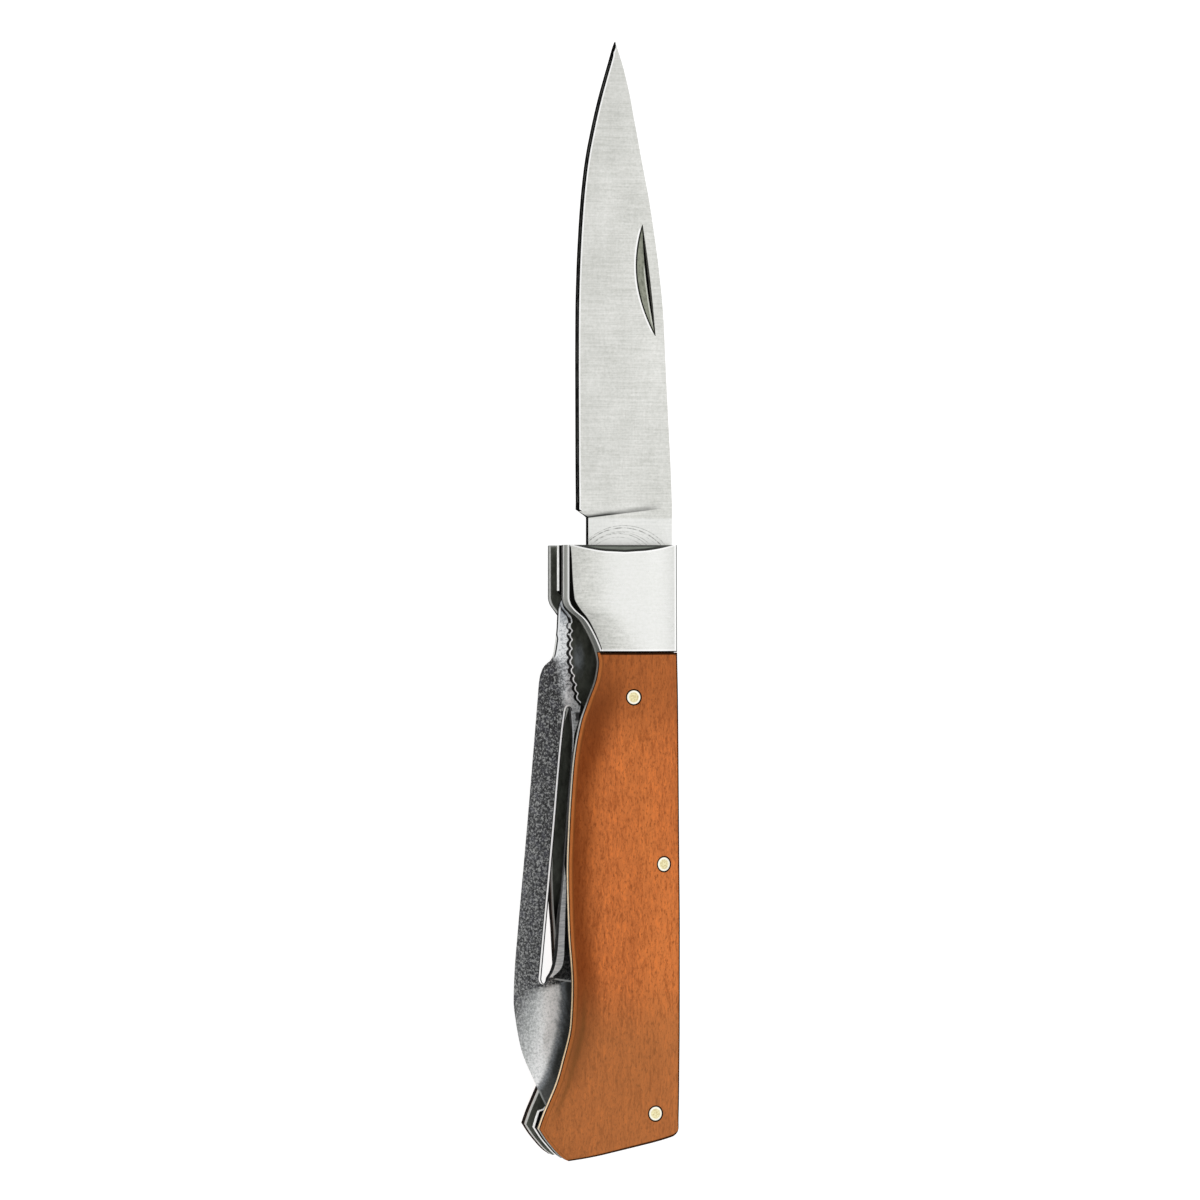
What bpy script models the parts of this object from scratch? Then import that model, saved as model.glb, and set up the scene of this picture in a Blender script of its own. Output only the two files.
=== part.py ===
"""Folding paring knife with a folding slotted peeler in the same handle.

The knife lies flat with its paring blade open and its peeler folded.
+Y runs along the handle towards the blade's point, +X towards the handle's
back (the spring side), +Z up through the handle's layers.  The origin is under
the middle of the whole open knife, on the surface that it lies on.

Drawing dimensions are millimetres in a drawing frame (u along X, v along Y,
w along Z).  P() turns them into metres about the part's origin.
"""
import math

import bpy
import bmesh
from mathutils import Vector

# ------------------------------------------------------------------ dimensions
MM = 0.001
DRAW_SHIFT_U = 6.115         # drawing origin to part origin, along X
DRAW_SHIFT_V = 0.10          # and along Y

# layers through the handle, lowest first (w in mm)
SCALE_CROWN = 3.55           # thickness of a handle scale at its crown
LINER_T = 1.20
PEELER_GAP = 3.60
CENTRE_T = 1.15
BLADE_GAP = 1.55
SEAM = 0.05                  # hairline between two clamped layers
SIDE_PLAY = 0.10             # play beside a tang

W_FAR_LINER = SCALE_CROWN + SEAM                 # 3.60
W_PEELER_GAP = W_FAR_LINER + LINER_T             # 4.80
W_CENTRE = W_PEELER_GAP + PEELER_GAP             # 8.40
W_BLADE_GAP = W_CENTRE + CENTRE_T                # 9.55
W_NEAR_LINER = W_BLADE_GAP + BLADE_GAP           # 11.10
W_NEAR_SCALE = W_NEAR_LINER + LINER_T            # 12.30
TOTAL_T = W_NEAR_SCALE + SEAM + SCALE_CROWN      # 15.90

# handle outline, (v, u): the slot side on the left and the back on the right
BOLSTER_FRONT_V = 8.33
BOLSTER_REAR_V = -7.88
SCALE_FRONT_V = -7.98
SLOT_SIDE = [(8.33, -12.0), (0.4, -12.0), (-0.6, -11.75), (-1.5, -11.05),
             (-3.0, -9.35), (-4.55, -8.35), (-6.1, -7.55), (-7.6, -6.95),
             (-9.5, -6.55), (-11.7, -6.85), (-15.3, -8.15), (-18.6, -9.30),
             (-23.6, -10.25), (-27.0, -10.60), (-34.0, -11.05), (-41.0, -11.28),
             (-50.0, -11.05), (-58.3, -10.52), (-64.0, -10.75), (-70.3, -12.20)]
# the scoop on the far side is shallower: the peeler's tip is picked up from the near side
SLOT_SIDE_FAR = [(8.33, -12.0), (0.4, -12.0), (-0.6, -11.75), (-1.5, -11.10),
                 (-3.0, -10.0), (-4.55, -9.40), (-6.1, -9.15), (-7.6, -9.02),
                 (-9.5, -8.95), (-11.7, -8.88), (-15.3, -8.90), (-18.6, -9.75),
                 (-23.6, -10.55), (-27.0, -10.86), (-30.0, -11.14), (-34.0, -11.45),
                 (-41.0, -11.72), (-47.0, -11.52), (-50.0, -11.28), (-53.0, -11.12),
                 (-58.3, -10.88), (-64.0, -10.95), (-70.3, -12.20)]
BACK_SIDE = [(8.33, 5.36), (-7.6, 5.40), (-15.0, 5.53), (-30.0, 5.66),
             (-41.0, 5.75), (-50.0, 5.82), (-65.0, 5.80), (-70.3, 5.75)]
# rows that fan round the flared butt: slot-side end and back-side end, (u, v)
BUTT_ROWS = [((-13.02, -73.0), (5.73, -71.9)), ((-14.12, -75.6), (5.72, -73.5)),
             ((-15.18, -78.0), (5.70, -75.0)), ((-15.88, -79.9), (5.68, -76.3)),
             ((-14.90, -81.4), (5.66, -77.4)), ((-13.86, -82.7), (5.63, -78.4)),
             ((-12.70, -83.95), (5.60, -79.3)), ((-11.68, -84.7), (5.57, -80.1))]
BUTT_BULGE = 0.95            # how far the butt's end edge stands out by its back corner

# crowned scale section: height over the liner against distance from the edge
EDGE_WALL = 1.55
EDGE_ROUND_W = 0.50
EDGE_ROUND_H = 2.05
CROWN_REACH = 5.5
FRONT_BEVEL_SLOPE = 0.757    # bolster's front bevel: mm back for each mm over the rounded edge
FAR_INSET = 0.35             # how far the far bolster's slot side stands in from its liner

# pins
PIN_R = 1.15
PIN_HOLE_R = 1.20
PIVOT_R = 1.50
PIVOT_HOLE_R = 1.55
BLADE_PIVOT = (-3.0, 2.58)
PEELER_PIVOT = (1.45, -77.7)
SPRING_PIN = (2.87, -40.0)
SCALE_PIN = (-2.02, -14.7)
PIVOT_BLIND = 2.6            # depth of the blind hole inside a bolster

# paring blade
BLADE_T = BLADE_GAP - 2 * SIDE_PLAY              # 1.35
BLADE_W = W_BLADE_GAP + SIDE_PLAY                # lower face of the blade
BLADE_TIP_V = 84.5
BLADE_EDGE = [(84.5, -3.31), (81.5, -4.53), (78.8, -5.33), (76.1, -6.09),
              (73.3, -6.78), (70.6, -7.38), (67.9, -7.92), (65.0, -8.36),
              (61.0, -8.80), (56.0, -9.17), (50.0, -9.47), (43.3, -9.64),
              (36.0, -9.67), (28.0, -9.65), (20.0, -9.62), (14.2, -9.57)]
BLADE_SPINE = [(84.5, -3.24), (81.5, -2.28), (78.8, -1.60), (76.1, -1.02),
               (73.3, -0.52), (70.6, 0.0), (67.9, 0.48), (65.0, 1.03),
               (61.0, 1.80), (56.0, 2.60), (50.0, 3.42), (43.3, 4.08),
               (36.0, 4.44), (28.0, 4.84), (20.0, 5.26), (14.2, 5.48)]
EDGE_BEVEL_W = 0.55          # width of the sharpened bevel
EDGE_BEVEL_T = 0.36          # thickness behind it
EDGE_T = 0.05                # what is left at the very edge
NICK_TOP_V, NICK_TOP_U = 56.9, 0.90      # nail nick, end towards the point
NICK_END_V, NICK_END_U = 40.1, 2.92      # and end towards the handle
NICK_WIDTH, NICK_DEPTH = 2.10, 0.34
RICASSO_V = 12.7             # the choil's step
RICASSO_EDGE = -7.78
BACK_U = 5.46
TANG_SEAM_V = 0.10           # where the tang meets its spring's nose

# peeler
PEELER_SHEET_T = 0.85
TANG_T = PEELER_GAP - 2 * SIDE_PLAY              # 3.40
TANG_W = W_PEELER_GAP + SIDE_PLAY                # 4.90
PEELER_RIM = [(0.0, -13.1), (-12.0, -14.02), (-24.0, -15.02), (-38.0, -16.25),
              (-50.0, -17.36), (-57.0, -17.92), (-61.0, -18.05), (-64.0, -17.72),
              (-68.2, -16.90), (-70.5, -16.08), (-72.7, -15.05), (-74.5, -14.25),
              (-76.8, -13.15), (-78.4, -12.20), (-79.6, -11.20)]
PEELER_TRIM = [(0.0, 1.95), (-0.5, 1.72), (-1.4, 1.64), (-4.5, 1.74),
               (-6.8, 1.70), (-8.3, 1.54), (-9.1, 1.28), (-9.6, 0.80),
               (-10.0, 0.50), (-10.6, 0.26), (-11.7, 0.06), (-13.0, 0.0),
               (-79.6, 0.0)]
PEELER_RIGHT = [(0.0, -10.75), (-1.2, -9.95), (-2.3, -9.55), (-5.2, -9.45),
                (-8.3, -9.55), (-10.3, -9.40), (-12.9, -8.85), (-15.2, -8.30),
                (-16.3, -7.70), (-18.0, -7.30), (-22.0, -7.10), (-58.0, -7.10),
                (-62.0, -6.40), (-66.0, -5.20), (-76.8, -4.60), (-79.6, -6.60)]
PEELER_RIM_W = 5.55          # height of the low left rim
PEELER_CROWN = [(0.0, 8.15), (-3.0, 8.22), (-12.0, 8.60), (-24.0, 9.05),
                (-36.0, 9.38), (-58.0, 9.38), (-64.0, 9.0), (-70.0, 8.4),
                (-79.6, 8.2)]
PEELER_RISE = 3.5            # how far in from the rim the crown is reached
SLOT_LEFT = [(-16.9, -10.95), (-19.7, -11.42), (-24.2, -11.95),
             (-42.4, -13.56), (-54.5, -14.62), (-57.4, -14.86)]
SLOT_RIGHT = [(-57.4, -13.55), (-56.2, -12.70), (-53.8, -12.05),
              (-48.5, -11.60), (-43.2, -11.02), (-30.0, -9.98),
              (-20.8, -9.30), (-16.9, -9.68)]
SERRATIONS = 9
SERRATION_PITCH = 1.36
SERRATION_R = 0.62

# springs
SPRING_T = 2.71              # width of a back spring where it is slim


# --------------------------------------------------------------------- helpers
def P(u, v, w):
    return Vector(((u + DRAW_SHIFT_U) * MM, (v + DRAW_SHIFT_V) * MM, w * MM))


def curve(table):
    """Smooth monotone curve through (key, value) pairs, falling keys."""
    xs = [-k for k, _ in table]
    ys = [val for _, val in table]
    n = len(xs)
    d = [(ys[i + 1] - ys[i]) / (xs[i + 1] - xs[i]) for i in range(n - 1)]
    m = [d[0]] + [0.0] * (n - 2) + [d[-1]]
    for i in range(1, n - 1):
        if d[i - 1] * d[i] > 0:
            m[i] = 2 * d[i - 1] * d[i] / (d[i - 1] + d[i])

    def value(v):
        x = -v
        if x <= xs[0]:
            return ys[0]
        if x >= xs[-1]:
            return ys[-1]
        i = max(k for k in range(n - 1) if xs[k] <= x)
        h = xs[i + 1] - xs[i]
        t = (x - xs[i]) / h
        return ((1 + 2 * t) * (1 - t) ** 2 * ys[i] + t * (1 - t) ** 2 * h * m[i]
                + t * t * (3 - 2 * t) * ys[i + 1] + t * t * (t - 1) * h * m[i + 1])
    return value


slot_side = curve(SLOT_SIDE)
slot_side_far = curve(SLOT_SIDE_FAR)
back_side = curve(BACK_SIDE)


def bolster_side_far(v):
    """Slot side of the far bolster: inset in front, flush again at its rear."""
    s = max(0.0, min(1.0, (v + 6.0) / 6.0))
    return slot_side_far(v) + FAR_INSET * s * s * (3 - 2 * s)


def steps(a, b, n):
    return [a + (b - a) * i / n for i in range(n + 1)]


def circle(cu, cv, r, n=32, start=0.0):
    return [(cu + r * math.cos(start + 2 * math.pi * i / n),
             cv + r * math.sin(start + 2 * math.pi * i / n)) for i in range(n)]


def arc(cu, cv, r, a0, a1, n):
    return [(cu + r * math.cos(math.radians(a)), cv + r * math.sin(math.radians(a)))
            for a in steps(a0, a1, n)]


def material(name, rgb, rough, metal):
    mat = bpy.data.materials.new(name)
    mat.use_nodes = True
    bsdf = mat.node_tree.nodes["Principled BSDF"]
    bsdf.inputs["Base Color"].default_value = (*rgb, 1.0)
    bsdf.inputs["Roughness"].default_value = rough
    bsdf.inputs["Metallic"].default_value = metal
    mat.diffuse_color = (*rgb, 1.0)
    return mat


def finish_object(name, bm, mat, origin=None, smooth=0.6):
    """Make the object, with its origin at a drawing point (its joint's axis)."""
    centre = origin if origin is not None else Vector((0, 0, 0))
    for vert in bm.verts:
        vert.co -= centre
    bmesh.ops.recalc_face_normals(bm, faces=bm.faces)
    mesh = bpy.data.meshes.new(name)
    bm.to_mesh(mesh)
    bm.free()
    mesh.shade_smooth()
    mesh.set_sharp_from_angle(angle=smooth)
    if mat is not None:
        mesh.materials.append(mat)
    obj = bpy.data.objects.new(name, mesh)
    obj.location = centre
    bpy.context.scene.collection.objects.link(obj)
    return obj


def prism(outline, w0, w1):
    """Closed plate from an outline of (u, v) points."""
    bm = bmesh.new()
    low = [bm.verts.new(P(u, v, w0)) for u, v in outline]
    high = [bm.verts.new(P(u, v, w1)) for u, v in outline]
    n = len(outline)
    bm.faces.new(list(reversed(low)))
    bm.faces.new(high)
    for i in range(n):
        j = (i + 1) % n
        bm.faces.new((low[i], low[j], high[j], high[i]))
    return bm


def grid_solid(top, bottom):
    """Closed shell between two grids of points of the same size."""
    bm = bmesh.new()
    a = [[bm.verts.new(p) for p in row] for row in top]
    b = [[bm.verts.new(p) for p in row] for row in bottom]
    rows, cols = len(top), len(top[0])
    for i in range(rows - 1):
        for j in range(cols - 1):
            bm.faces.new((a[i][j], a[i][j + 1], a[i + 1][j + 1], a[i + 1][j]))
            bm.faces.new((b[i][j], b[i + 1][j], b[i + 1][j + 1], b[i][j + 1]))
        bm.faces.new((a[i][0], a[i + 1][0], b[i + 1][0], b[i][0]))
        bm.faces.new((a[i][-1], b[i][-1], b[i + 1][-1], a[i + 1][-1]))
    for j in range(cols - 1):
        bm.faces.new((a[0][j], b[0][j], b[0][j + 1], a[0][j + 1]))
        bm.faces.new((a[-1][j], a[-1][j + 1], b[-1][j + 1], b[-1][j]))
    return bm


def cutter(name, bm):
    obj = finish_object(name, bm, None)
    obj.hide_render = True
    obj.display_type = 'WIRE'
    return obj


def boolean(obj, tool, operation='DIFFERENCE'):
    mod = obj.modifiers.new(tool.name, 'BOOLEAN')
    mod.operation = operation
    mod.solver = 'EXACT'
    mod.object = tool
    return mod


def turned_pin(name, centre, r, low, high, mat, chamfer=0.08, n=28):
    """Round pin whose ends follow the surfaces low(u, v) and high(u, v)."""
    bm = bmesh.new()
    cu, cv = centre
    rings = []
    for rad, end, back in ((r - chamfer, low, 0.0), (r, low, chamfer),
                           (r, high, -chamfer), (r - chamfer, high, 0.0)):
        rings.append([bm.verts.new(P(u, v, end(u, v) + back)) for u, v in circle(cu, cv, rad, n)])
    caps = [bm.verts.new(P(cu, cv, low(cu, cv))), bm.verts.new(P(cu, cv, high(cu, cv)))]
    for i in range(n):
        j = (i + 1) % n
        bm.faces.new((caps[0], rings[0][j], rings[0][i]))
        bm.faces.new((caps[1], rings[-1][i], rings[-1][j]))
        for lower, upper in zip(rings, rings[1:]):
            bm.faces.new((lower[i], lower[j], upper[j], upper[i]))
    return finish_object(name, bm, mat)


# ----------------------------------------------------------- handle's outline
def butt_bow(s):
    """The end edge runs straight to a small round corner at the back."""
    if s < 0.92:
        return (s / 0.92) ** 0.9
    return math.sqrt(max(0.0, 1 - ((s - 0.92) / 0.08) ** 2))


def butt_edge(inset=0.0):
    """The butt's end edge, slot side to back side."""
    (lu, lv), (ru, rv) = BUTT_ROWS[-1]
    length = math.hypot(ru - lu, rv - lv)
    nu, nv = (rv - lv) / length, -(ru - lu) / length
    pts = []
    for t in [0.0, 0.2, 0.4, 0.6, 0.8, 0.92, 0.95, 0.975, 0.992, 1.0]:
        b = BUTT_BULGE * butt_bow(t) - inset
        pts.append((lu + (ru - lu) * t + nu * b, lv + (rv - lv) * t + nv * b))
    return pts


def handle_outline(front_v, side):
    """Outline of the handle, counter-clockwise, from its slot side's front."""
    stations = [v for v in steps(BOLSTER_FRONT_V, -2.0, 7) if v < front_v - 0.3]
    stations += [v for v in steps(-2.8, -12.0, 11)]
    stations += [v for v in steps(-14.5, -70.3, 17)]
    vs = [front_v] + [v for v in stations if v < front_v - 0.3]
    left = [(side(v), v) for v in vs]
    right = [(back_side(v), v) for v in vs if v in (vs[0], vs[-1]) or vs.index(v) % 3 == 0]
    left += [l for l, _ in BUTT_ROWS]
    right += [r for _, r in BUTT_ROWS[1::2]]
    return left + butt_edge()[1:-1] + list(reversed(right))


def crown_height(t, width):
    """Height of a scale over its liner, t from the nearer edge."""
    reach = min(CROWN_REACH, 0.44 * width)
    top = SCALE_CROWN - max(0.0, (12.0 - width)) * 0.05
    if t <= 0.0:
        return EDGE_WALL
    if t < EDGE_ROUND_W:
        s = t / EDGE_ROUND_W
        return EDGE_WALL + (EDGE_ROUND_H - EDGE_WALL) * math.sqrt(max(0.0, 1 - (1 - s) ** 2))
    s = min(1.0, (t - EDGE_ROUND_W) / (reach - EDGE_ROUND_W))
    return EDGE_ROUND_H + (top - EDGE_ROUND_H) * (1 - (1 - s) ** 2)


def crown_columns(width):
    reach = min(CROWN_REACH, 0.44 * width)
    ts = [0.0, 0.06, 0.20, EDGE_ROUND_W]
    ts += [EDGE_ROUND_W + (reach - EDGE_ROUND_W) * s for s in (0.16, 0.34, 0.56, 0.80, 1.0)]
    return ts + [width / 2] + [width - t for t in reversed(ts)]


def handle_rows(front_v, side, rear_v=None):
    """Pairs of edge points across the handle, front to rear."""
    if rear_v is not None:
        vs = [front_v] + [v for v in steps(6.6, 0.4, 4) if v < front_v - 0.4]
        vs += [v for v in steps(-0.3, -7.0, 10)] + [rear_v]
        return [((side(v), v), (back_side(v), v)) for v in vs]
    vs = [front_v] + [v for v in steps(-9.2, -18.8, 8)] + [v for v in steps(-21.5, -70.3, 15)]
    rows = [((side(v), v), (back_side(v), v)) for v in vs]
    return rows + BUTT_ROWS


def crowned_slab(rows, base_w, up, front_bevel=False, last_bowed=False):
    """Scale or bolster: flat on its liner, crowned outwards (up = +1 or -1)."""
    bm = bmesh.new()
    grid, feet = [], []
    for i, ((lu, lv), (ru, rv)) in enumerate(rows):
        width = math.hypot(ru - lu, rv - lv)
        line = []
        last = last_bowed and i == len(rows) - 1
        near_last = last_bowed and i >= len(rows) - 4
        for t in crown_columns(width):
            s = t / width
            h = crown_height(min(t, width - t), width)
            u, v = lu + (ru - lu) * s, lv + (rv - lv) * s
            if near_last:
                bow = BUTT_BULGE * (0.25, 0.5, 0.75, 1.0)[i - len(rows) + 4]
                nu, nv = (rv - lv) / width, -(ru - lu) / width
                u += nu * bow * butt_bow(s)
                v += nv * bow * butt_bow(s)
            if last:
                h = max(EDGE_WALL, h - 0.35)
            if front_bevel and i == 0:
                v -= FRONT_BEVEL_SLOPE * max(0.0, h - EDGE_ROUND_H)
            line.append(bm.verts.new(P(u, v, base_w + up * h)))
        grid.append(line)
        feet.append((bm.verts.new(P(lu, lv, base_w)), bm.verts.new(P(ru, rv, base_w))))
    for i in range(len(rows) - 1):
        a, b = grid[i], grid[i + 1]
        for j in range(len(a) - 1):
            bm.faces.new((a[j], a[j + 1], b[j + 1], b[j]))
        (la, ra), (lb, rb) = feet[i], feet[i + 1]
        bm.faces.new((la, a[0], b[0], lb))
        bm.faces.new((ra, rb, b[-1], a[-1]))
        if not (last_bowed and i == len(rows) - 2):
            bm.faces.new((la, lb, rb, ra))
    # front end: an upright strip and, above it, the upright part of the section
    # and the bevel that starts where the edges' rounding ends, or the whole section
    (la, ra), a = feet[0], grid[0]
    bm.faces.new((la, ra, a[-1], a[0]))
    if front_bevel:
        bm.faces.new(list(reversed(a[:4] + a[-4:])))
        bm.faces.new(list(reversed(a[3:-3])))
    else:
        bm.faces.new(list(reversed(a)))
    (lb, rb), b = feet[-1], grid[-1]
    if last_bowed:
        # the bowed end stands upright from its own foot line
        foot = [lb] + [bm.verts.new((p.co.x, p.co.y, lb.co.z)) for p in b[1:-1]] + [rb]
        for j in range(len(b) - 1):
            bm.faces.new((b[j], b[j + 1], foot[j + 1], foot[j]))
        (la, ra) = feet[-2]
        bm.faces.new([la] + foot + [ra])
    else:
        bm.faces.new((lb, b[0], b[-1], rb))
        bm.faces.new(b)
    return bm


# ----------------------------------------------------------------- the pieces
def make_handle(steel, wood, polished):
    near_liner = finish_object("near_liner", prism(handle_outline(BOLSTER_FRONT_V, slot_side),
                                                   W_NEAR_LINER, W_NEAR_SCALE), steel)
    far_liner = finish_object("far_liner", prism(handle_outline(BOLSTER_FRONT_V, slot_side_far),
                                                 W_FAR_LINER, W_PEELER_GAP), steel)

    # the divider between the two tools, let in on the slot side so that the
    # peeler's bowl has room, and out to the full outline again at both ends
    let_in = [(-12.0, 1.4), (-11.6, 0.8), (-9.8, 0.2), (-8.2, -1.6), (-6.4, -4.6),
              (-5.2, -7.4), (-4.9, -9.6), (-5.4, -12.6), (-6.8, -17.6), (-8.2, -24.0),
              (-9.0, -34.0), (-9.1, -44.0), (-8.7, -54.0), (-8.9, -62.0), (-10.0, -68.0),
              (-11.8, -73.0), (-13.2, -76.2), (-14.2, -77.2), (-15.1, -77.5)]
    back = [(back_side(v), v) for v in (BOLSTER_FRONT_V, -7.6, -20.0, -30.0, -41.0, -52.0, -65.0, -70.3)]
    divider = [(-12.0, BOLSTER_FRONT_V)] + let_in
    divider += [(-15.45, -78.5)] + [l for l, _ in BUTT_ROWS[3:]] + butt_edge()[1:-1]
    divider += [r for _, r in reversed(BUTT_ROWS[1::2])] + list(reversed(back))
    centre_liner = finish_object("centre_liner", prism(divider, W_CENTRE, W_BLADE_GAP), steel)

    near_scale = finish_object("near_scale", crowned_slab(
        handle_rows(SCALE_FRONT_V, slot_side), W_NEAR_SCALE + SEAM, 1, last_bowed=True), wood)
    far_scale = finish_object("far_scale", crowned_slab(
        handle_rows(SCALE_FRONT_V, slot_side_far), W_FAR_LINER - SEAM, -1, last_bowed=True), wood)
    near_bolster = finish_object("near_bolster", crowned_slab(
        handle_rows(BOLSTER_FRONT_V, slot_side, BOLSTER_REAR_V), W_NEAR_SCALE + SEAM, 1,
        front_bevel=True), polished)
    far_bolster = finish_object("far_bolster", crowned_slab(
        handle_rows(BOLSTER_FRONT_V, bolster_side_far, BOLSTER_REAR_V), W_FAR_LINER - SEAM, -1,
        front_bevel=True), polished)

    # holes: one tool for each row of pins, shared by the layers it passes
    pivot_tool = cutter("cut_pivot", prism(circle(*BLADE_PIVOT, PIVOT_HOLE_R),
                                           W_FAR_LINER - SEAM - PIVOT_BLIND,
                                           W_NEAR_SCALE + SEAM + PIVOT_BLIND))
    butt_tool = cutter("cut_butt_pin", prism(circle(*PEELER_PIVOT, PIN_HOLE_R), -2, TOTAL_T + 2))
    mid_tool = cutter("cut_mid_pin", prism(circle(*SPRING_PIN, PIN_HOLE_R), -2, TOTAL_T + 2))
    scale_tool = cutter("cut_scale_pin", prism(circle(*SCALE_PIN, PIN_HOLE_R), -2, TOTAL_T + 2))
    for layer in (near_liner, far_liner):
        for tool in (pivot_tool, butt_tool, mid_tool, scale_tool):
            boolean(layer, tool)
    for tool in (pivot_tool, butt_tool, mid_tool):
        boolean(centre_liner, tool)
    for layer in (near_scale, far_scale):
        for tool in (butt_tool, mid_tool, scale_tool):
            boolean(layer, tool)
    for layer in (near_bolster, far_bolster):
        boolean(layer, pivot_tool)
    return pivot_tool, butt_tool, mid_tool


def scale_height(u, v, side=None):
    """Height of the crowned surface over the liner at a point of the handle."""
    side = side or slot_side
    if v > -70.3:
        left, right = side(v), back_side(v)
    else:
        left, right = -13.5, 5.70
    return crown_height(max(0.0, min(u - left, right - u)), right - left)


def make_pins(brass, pinsteel):
    near_face, far_face = W_NEAR_SCALE + SEAM, W_FAR_LINER - SEAM

    def crowned_end(face, up, sink, side):
        return lambda u, v: face + up * (scale_height(u, v, side) - sink)

    near_end = crowned_end(near_face, 1, 0.0, slot_side)
    far_end = crowned_end(far_face, -1, 0.03, slot_side_far)
    for name, centre in (("peeler_pivot_pin", PEELER_PIVOT), ("spring_pin", SPRING_PIN)):
        turned_pin(name, centre, PIN_R, far_end, near_end, brass)
    turned_pin("near_scale_pin", SCALE_PIN, PIN_R, lambda u, v: W_NEAR_LINER + 0.05, near_end, brass)
    turned_pin("far_scale_pin", SCALE_PIN, PIN_R, far_end, lambda u, v: W_PEELER_GAP - 0.05, brass)
    turned_pin("blade_pivot_pin", BLADE_PIVOT, PIVOT_R,
               lambda u, v: far_face - PIVOT_BLIND + 0.1,
               lambda u, v: near_face + PIVOT_BLIND - 0.1, pinsteel)


def make_springs(steel, pivot_tool, butt_tool, mid_tool):
    # the paring blade's spring: fixed at the butt and by the middle pin, its
    # nose lies under the tang's open flat
    nose_u = BACK_U - SPRING_T
    inner = [(nose_u + 0.05, -0.05), (nose_u, -6.0), (nose_u + 0.15, -16.0), (2.55, -26.0),
             (2.10, -33.0), (1.35, -36.4), (1.05, -38.5), (1.02, -41.5), (1.35, -43.8),
             (2.2, -47.0), (2.6, -54.0), (2.3, -64.0), (1.2, -70.0), (-0.4, -73.6),
             (-1.4, -76.2), (-1.6, -79.0)]
    end = [(u, v) for u, v in butt_edge(0.08) if u > -1.5]
    back = [(back_side(v) - 0.02, v) for v in (-70.3, -65.0, -56.0, -48.0, -41.0, -33.0, -24.0, -15.0, -7.6)]
    outline = inner + [(-1.6, -82.6)] + end[:-1] + [(5.54, -79.9), (5.67, -76.0)] + back + [(5.34, -0.05)]
    spring = finish_object("blade_spring", prism(outline, W_BLADE_GAP + SEAM, W_NEAR_LINER - SEAM), steel)
    boolean(spring, butt_tool)
    boolean(spring, mid_tool)

    # the peeler's spring: its root fills the bolster end around the pivot, and
    # its nose lies along the back of the peeler's tang
    root = [(5.32, 8.2), (-4.2, 8.2), (-5.6, 6.6), (-5.9, 3.0), (-5.4, 0.2), (-3.6, -1.6),
            (-0.6, -3.4), (1.6, -6.6), (2.5, -12.0), (2.7, -20.0), (2.6, -28.0),
            (2.05, -34.0), (1.35, -36.8), (1.05, -38.8), (1.05, -41.2), (1.4, -43.4),
            (2.3, -47.0), (2.8, -54.0), (2.9, -62.0), (3.3, -69.0), (3.86, -72.4), (3.88, -77.0)]
    back = [(5.65, -77.0), (5.70, -74.0)]
    back += [(back_side(v) - 0.02, v) for v in (-70.3, -65.0, -56.0, -48.0, -41.0, -33.0, -24.0, -15.0, -7.6)]
    spring = finish_object("peeler_spring", prism(root + back, W_PEELER_GAP + SEAM, W_CENTRE - SEAM), steel)
    boolean(spring, pivot_tool)
    boolean(spring, mid_tool)


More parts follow.
